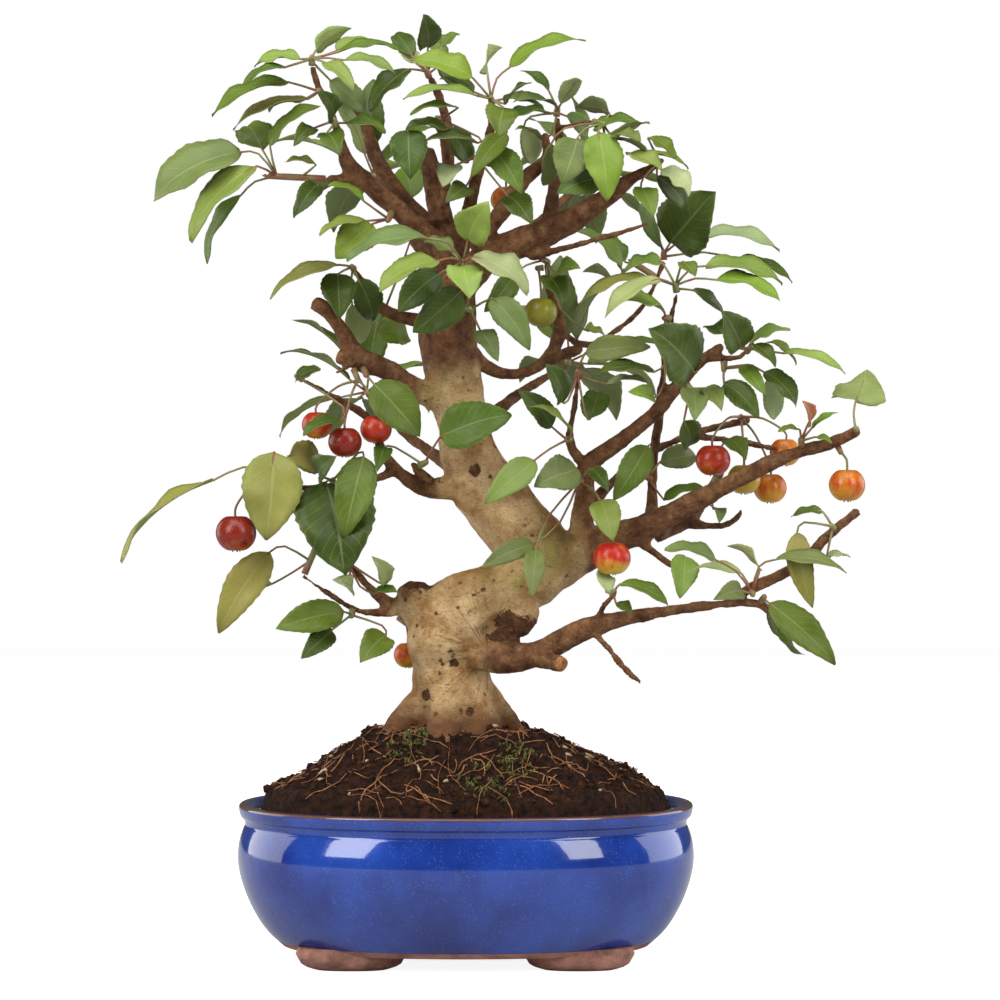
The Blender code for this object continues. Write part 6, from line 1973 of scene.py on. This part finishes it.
    def fibre_layer(self, surface: BVHTree) -> Piece:
        """Return the fine roots and peat fibres, each lying over the soil in a loose bend."""
        draw = random.Random(SEED + 2)
        shells = []
        for place, facing in self.spots(surface, self.fibres, draw):
            length = draw.uniform(*self.fibre_length)
            way = facing.orthogonal().normalized()
            way.rotate(Quaternion(facing, draw.uniform(0, math.tau)))
            bend = draw.uniform(-self.fibre_bend, self.fibre_bend)
            path = []
            for step in range(self.fibre_steps + 1):
                way.rotate(Quaternion(facing, bend / self.fibre_steps))
                at = place + way * (step / self.fibre_steps - 0.5) * length
                ground, _ = self.below(surface, at.x, at.y)
                lift = self.fibre_lift[0] + draw.uniform(0, self.fibre_lift[1])
                path.append((ground or at) + Vector((0, 0, lift)))
            thick = draw.uniform(*self.fibre_radius)
            shells.append(tube(path, [thick] * len(path), 4))
        return mesh_piece("soil_fibres", joined(shells), EarthFinish(
            "fibre", 0.8, light=(0.42, 0.20, 0.085), dark=(0.13, 0.05, 0.025), relief=0.0002).build())

    def chip_layer(self, surface: BVHTree) -> Piece:
        """Return the pale chips of wood and grit."""
        draw = random.Random(SEED + 3)
        shells = []
        for place, facing in self.spots(surface, self.chips, draw):
            way = facing.orthogonal().normalized()
            way.rotate(Quaternion(facing, draw.uniform(0, math.tau)))
            length = draw.uniform(*self.chip_length)
            lifted = place + facing * 0.5
            shells.append(tube([lifted, lifted + way * length * 0.5, lifted + way * length],
                               [draw.uniform(0.4, 0.9), draw.uniform(0.5, 1.0), 0.3], 5))
        return mesh_piece("soil_chips", joined(shells), EarthFinish(
            "chip", 0.8, light=(0.56, 0.44, 0.29), dark=(0.25, 0.16, 0.09), relief=0.0003).build())

    def moss_layer(self, surface: BVHTree) -> Piece:
        """Return the moss: patches of short tufts."""
        draw = random.Random(SEED + 4)
        shells = []
        for patch in self.moss_at:
            for place, facing in self.spots(surface, self.tufts // len(self.moss_at), draw, patch):
                lean = Vector((draw.gauss(0, 0.3), draw.gauss(0, 0.3), 0))
                height = draw.uniform(*self.tuft_height)
                up = (facing + lean).normalized()
                shells.append(tube([place - up * 0.4, place + up * height * 0.6, place + up * height],
                                   [draw.uniform(0.5, 0.9), draw.uniform(0.35, 0.6), 0.15], 5))
        return mesh_piece("soil_moss", joined(shells), EarthFinish(
            "moss", 0.9, light=(0.16, 0.17, 0.045), dark=(0.05, 0.055, 0.018), relief=0.0006).build())


@dataclass
class Pot:
    """The glazed oval pot on its four bare clay feet."""

    sides: int = 144
    roundings: int = 2
    corner_cut: float = 0.25
    crease: float = 50.0
    foot_sides: int = 32
    foot_profile: tuple[Triple, ...] = (
        (0.0, 0.64, 0.60), (0.5, 0.71, 0.67), (1.4, 0.82, 0.80), (2.6, 0.90, 0.90), (FOOT_HEIGHT, 1.0, 1.0),
        (FOOT_HEIGHT + 3.0, 0.96, 0.9))
    bare_below: float = 9.0
    rim_line: float = 1.5
    rim_inset: float = 1.2
    thin_from: float = 0.955
    thin_fade: float = 40.0
    hole_radius: float = 6.0
    hole_depth: float = 40.0
    hole_at: float = 38.0

    def rounded(self, profile: Sequence[Span]) -> list[Span]:
        """Return a section with its corners cut off, finer each time, its two ends kept."""
        for _ in range(self.roundings):
            finer = [profile[0]]
            for start, end in zip(profile, profile[1:]):
                for share in (self.corner_cut, 1 - self.corner_cut):
                    finer.append(tuple((1 - share) * a + share * b for a, b in zip(start, end)))
            profile = [*finer, profile[-1]]
        return list(profile)

    def build(self) -> Piece:
        """Return the wall and floor as one closed shell, with its drainage holes cut and its thin rim marked;
        the feet are joined on when it is dressed.
        """
        outside, inside = pot_profile()
        section = self.rounded([*outside, *inside])
        wall = mesh_piece("pot_wall", lathe_like([
            oval(POT_LENGTH / 2 - inset, POT_DEPTH / 2 - inset, height, self.sides)
            for height, inset in section]))
        for side in (-1, 1):
            self.drain(wall, side * self.hole_at)
        choose(wall)
        bpy.ops.object.shade_smooth_by_angle(angle=math.radians(self.crease))
        x, y, z = points_of(wall).T
        edge = np.exp(-((z - POT_HEIGHT) / self.rim_line) ** 2)
        across = np.abs(x - POT_AT_X) / (POT_LENGTH / 2 - self.rim_inset)
        deep = np.abs(y) / (POT_DEPTH / 2 - self.rim_inset)
        reach = (across ** POT_ROUNDNESS + deep ** POT_ROUNDNESS) ** (1 / POT_ROUNDNESS)
        set_attribute(wall, "thin", edge * np.clip((reach - self.thin_from) * self.thin_fade, 0, 1))
        return wall

    def drain(self, wall: Piece, aside: float) -> None:
        """Cut one drainage hole through the floor, this far aside of the middle."""
        middle = (SHIFT + Vector((POT_AT_X + aside, 0, 0))) * MM
        drill = primitive("cylinder", vertices=self.foot_sides, radius=self.hole_radius * MM,
                          depth=self.hole_depth * MM, location=middle)
        apply_modifier(wall, "BOOLEAN", object=drill, operation="DIFFERENCE", solver="EXACT")
        bpy.data.objects.remove(drill)

    def foot(self, right: int, back: int) -> Piece:
        """Return one cloud-shaped foot."""
        rings = []
        for height, length, width in self.foot_profile:
            ring = oval(FOOT_LENGTH / 2 * length, FOOT_WIDTH / 2 * width, height, self.foot_sides)
            rings.append([point + Vector((right * FOOT_AT[0], back * FOOT_AT[1], 0)) for point in ring])
        piece = mesh_piece("foot", lathe_like(rings))
        choose(piece)
        bpy.ops.object.shade_smooth_by_angle(angle=math.radians(self.crease))
        return piece

    def dress(self, wall: Piece) -> None:
        """Glaze the wall, leave the bottom and the feet bare, and enter them."""
        glaze, clay = GlazeFinish("cobalt glaze").build(), ClayFinish("bare clay").build()
        wall.data.materials.append(glaze)
        wall.data.materials.append(clay)
        low = (self.bare_below + SHIFT.z) * MM
        for face in wall.data.polygons:
            if face.center.z < low:
                face.material_index = 1
        feet = [self.foot(right, back) for right in (-1, 1) for back in (-1, 1)]
        for foot in feet:
            foot.data.materials.append(clay)
        keep(join_pieces("pot_glazed", [wall, *feet]), "glaze", "pot")


@dataclass
class Studio:
    """A white floor, soft white light and the camera of the front picture."""

    floor_size: float = 6.0
    floor_light: float = 0.9
    floor_tones: Span = (0.48, 0.52)
    world_light: float = 0.08
    backdrop_light: float = 1.0
    aim: Vector = Vector((0.0, 0.0, 0.16)).freeze()

    def build(self) -> None:
        """Lay the floor, hang the lights and stand the camera."""
        self.floor()
        self.world()
        self.softbox("left softbox", (-1.0, -1.1, 0.9), (0.6, 1.1), 17.0)
        self.softbox("right softbox", (0.95, -1.1, 0.8), (0.5, 1.0), 11.0)
        self.softbox("top softbox", (0.0, -0.5, 1.6), (1.6, 1.2), 24.0)
        self.softbox("left side light", (-1.3, 0.35, 0.45), (1.2, 0.9), 9.0)
        self.softbox("right side light", (1.3, 0.35, 0.45), (1.2, 0.9), 9.0)
        self.camera()

    def floor(self) -> None:
        """Lay the white floor."""
        floor = primitive("plane", size=self.floor_size)
        floor.name = "floor"
        material, lay, shader = Finish("white floor", 0.9).begin()
        dull, clean = ((tone, tone, tone) for tone in self.floor_tones)
        lay.feed(shader.inputs["Base Color"], lay.ramp(lay.noise(3.0, 2.0), (0.0, dull), (1.0, clean)))
        shader.inputs["Emission Color"].default_value = (1.0, 1.0, 1.0, 1.0)
        straight = lay.add("LightPath").outputs["Is Camera Ray"]
        lay.feed(shader.inputs["Emission Strength"], lay.band(straight, 0.0, 1.0, 0.0, self.floor_light))
        floor.data.materials.append(material)

    def world(self) -> None:
        """Fill the room with even white light."""
        world = bpy.data.worlds.new("studio")
        world.use_nodes = True
        background = world.node_tree.nodes["Background"]
        background.inputs["Color"].default_value = (1.0, 1.0, 1.0, 1.0)
        lay = Nodes(world.node_tree)
        straight = lay.add("LightPath").outputs["Is Camera Ray"]
        light = lay.band(straight, 0.0, 1.0, self.world_light, self.backdrop_light)
        lay.feed(background.inputs["Strength"], light)
        bpy.context.scene.world = world
        bpy.context.scene.view_settings.view_transform = "Standard"

    def softbox(self, name: str, place: Triple, size: Span, power: float) -> None:
        """Hang one softbox, turned to the tree."""
        light = bpy.data.lights.new(name, "AREA")
        light.shape = "RECTANGLE"
        light.size, light.size_y = size
        light.energy = power
        holder = stand(name, light)
        holder.location = place
        holder.rotation_euler = (self.aim - Vector(place)).to_track_quat("-Z", "Y").to_euler()

    def camera(self) -> None:
        """Stand the camera where the front picture was seen from."""
        lens = bpy.data.cameras.new("front camera")
        lens.sensor_width = SENSOR
        lens.lens = SENSOR * EYE_DISTANCE / (PICTURE_UNITS * UNIT)
        lens.clip_start = 0.05
        holder = stand("front camera", lens)
        holder.location = (SHIFT + Vector((0, -EYE_DISTANCE, EYE_HEIGHT))) * MM
        holder.rotation_euler = (math.pi / 2, 0, 0)
        bpy.context.scene.camera = holder


def main() -> None:
    """Build the studio, the pot, the soil, the wood, the fruit and the leaves."""
    logging.basicConfig(level=logging.INFO, format="%(message)s")
    Studio().build()
    pot = Pot()
    pot.dress(pot.build())
    ground = Ground()
    ground.dress(ground.build())
    wood = Wood()
    wood.dress(wood.build())
    limbs = tree_of(joined(limb_shell(limb) for limb in (TRUNK, *ROOTS, *LIMBS)))
    below = [tree_of(pot_shell(POT_SIDES)), tree_of(soil_shell())]
    bunches, hanging = placed_bunches(limbs, below)
    crop = Crop()
    for bunch in bunches:
        crop.dress(bunch)
    foliage = Foliage()
    for shoot in placed_shoots(limbs, [*below, *hanging]):
        foliage.dress(shoot)
    foliage.clear()


if __name__ == "__main__":
    main()
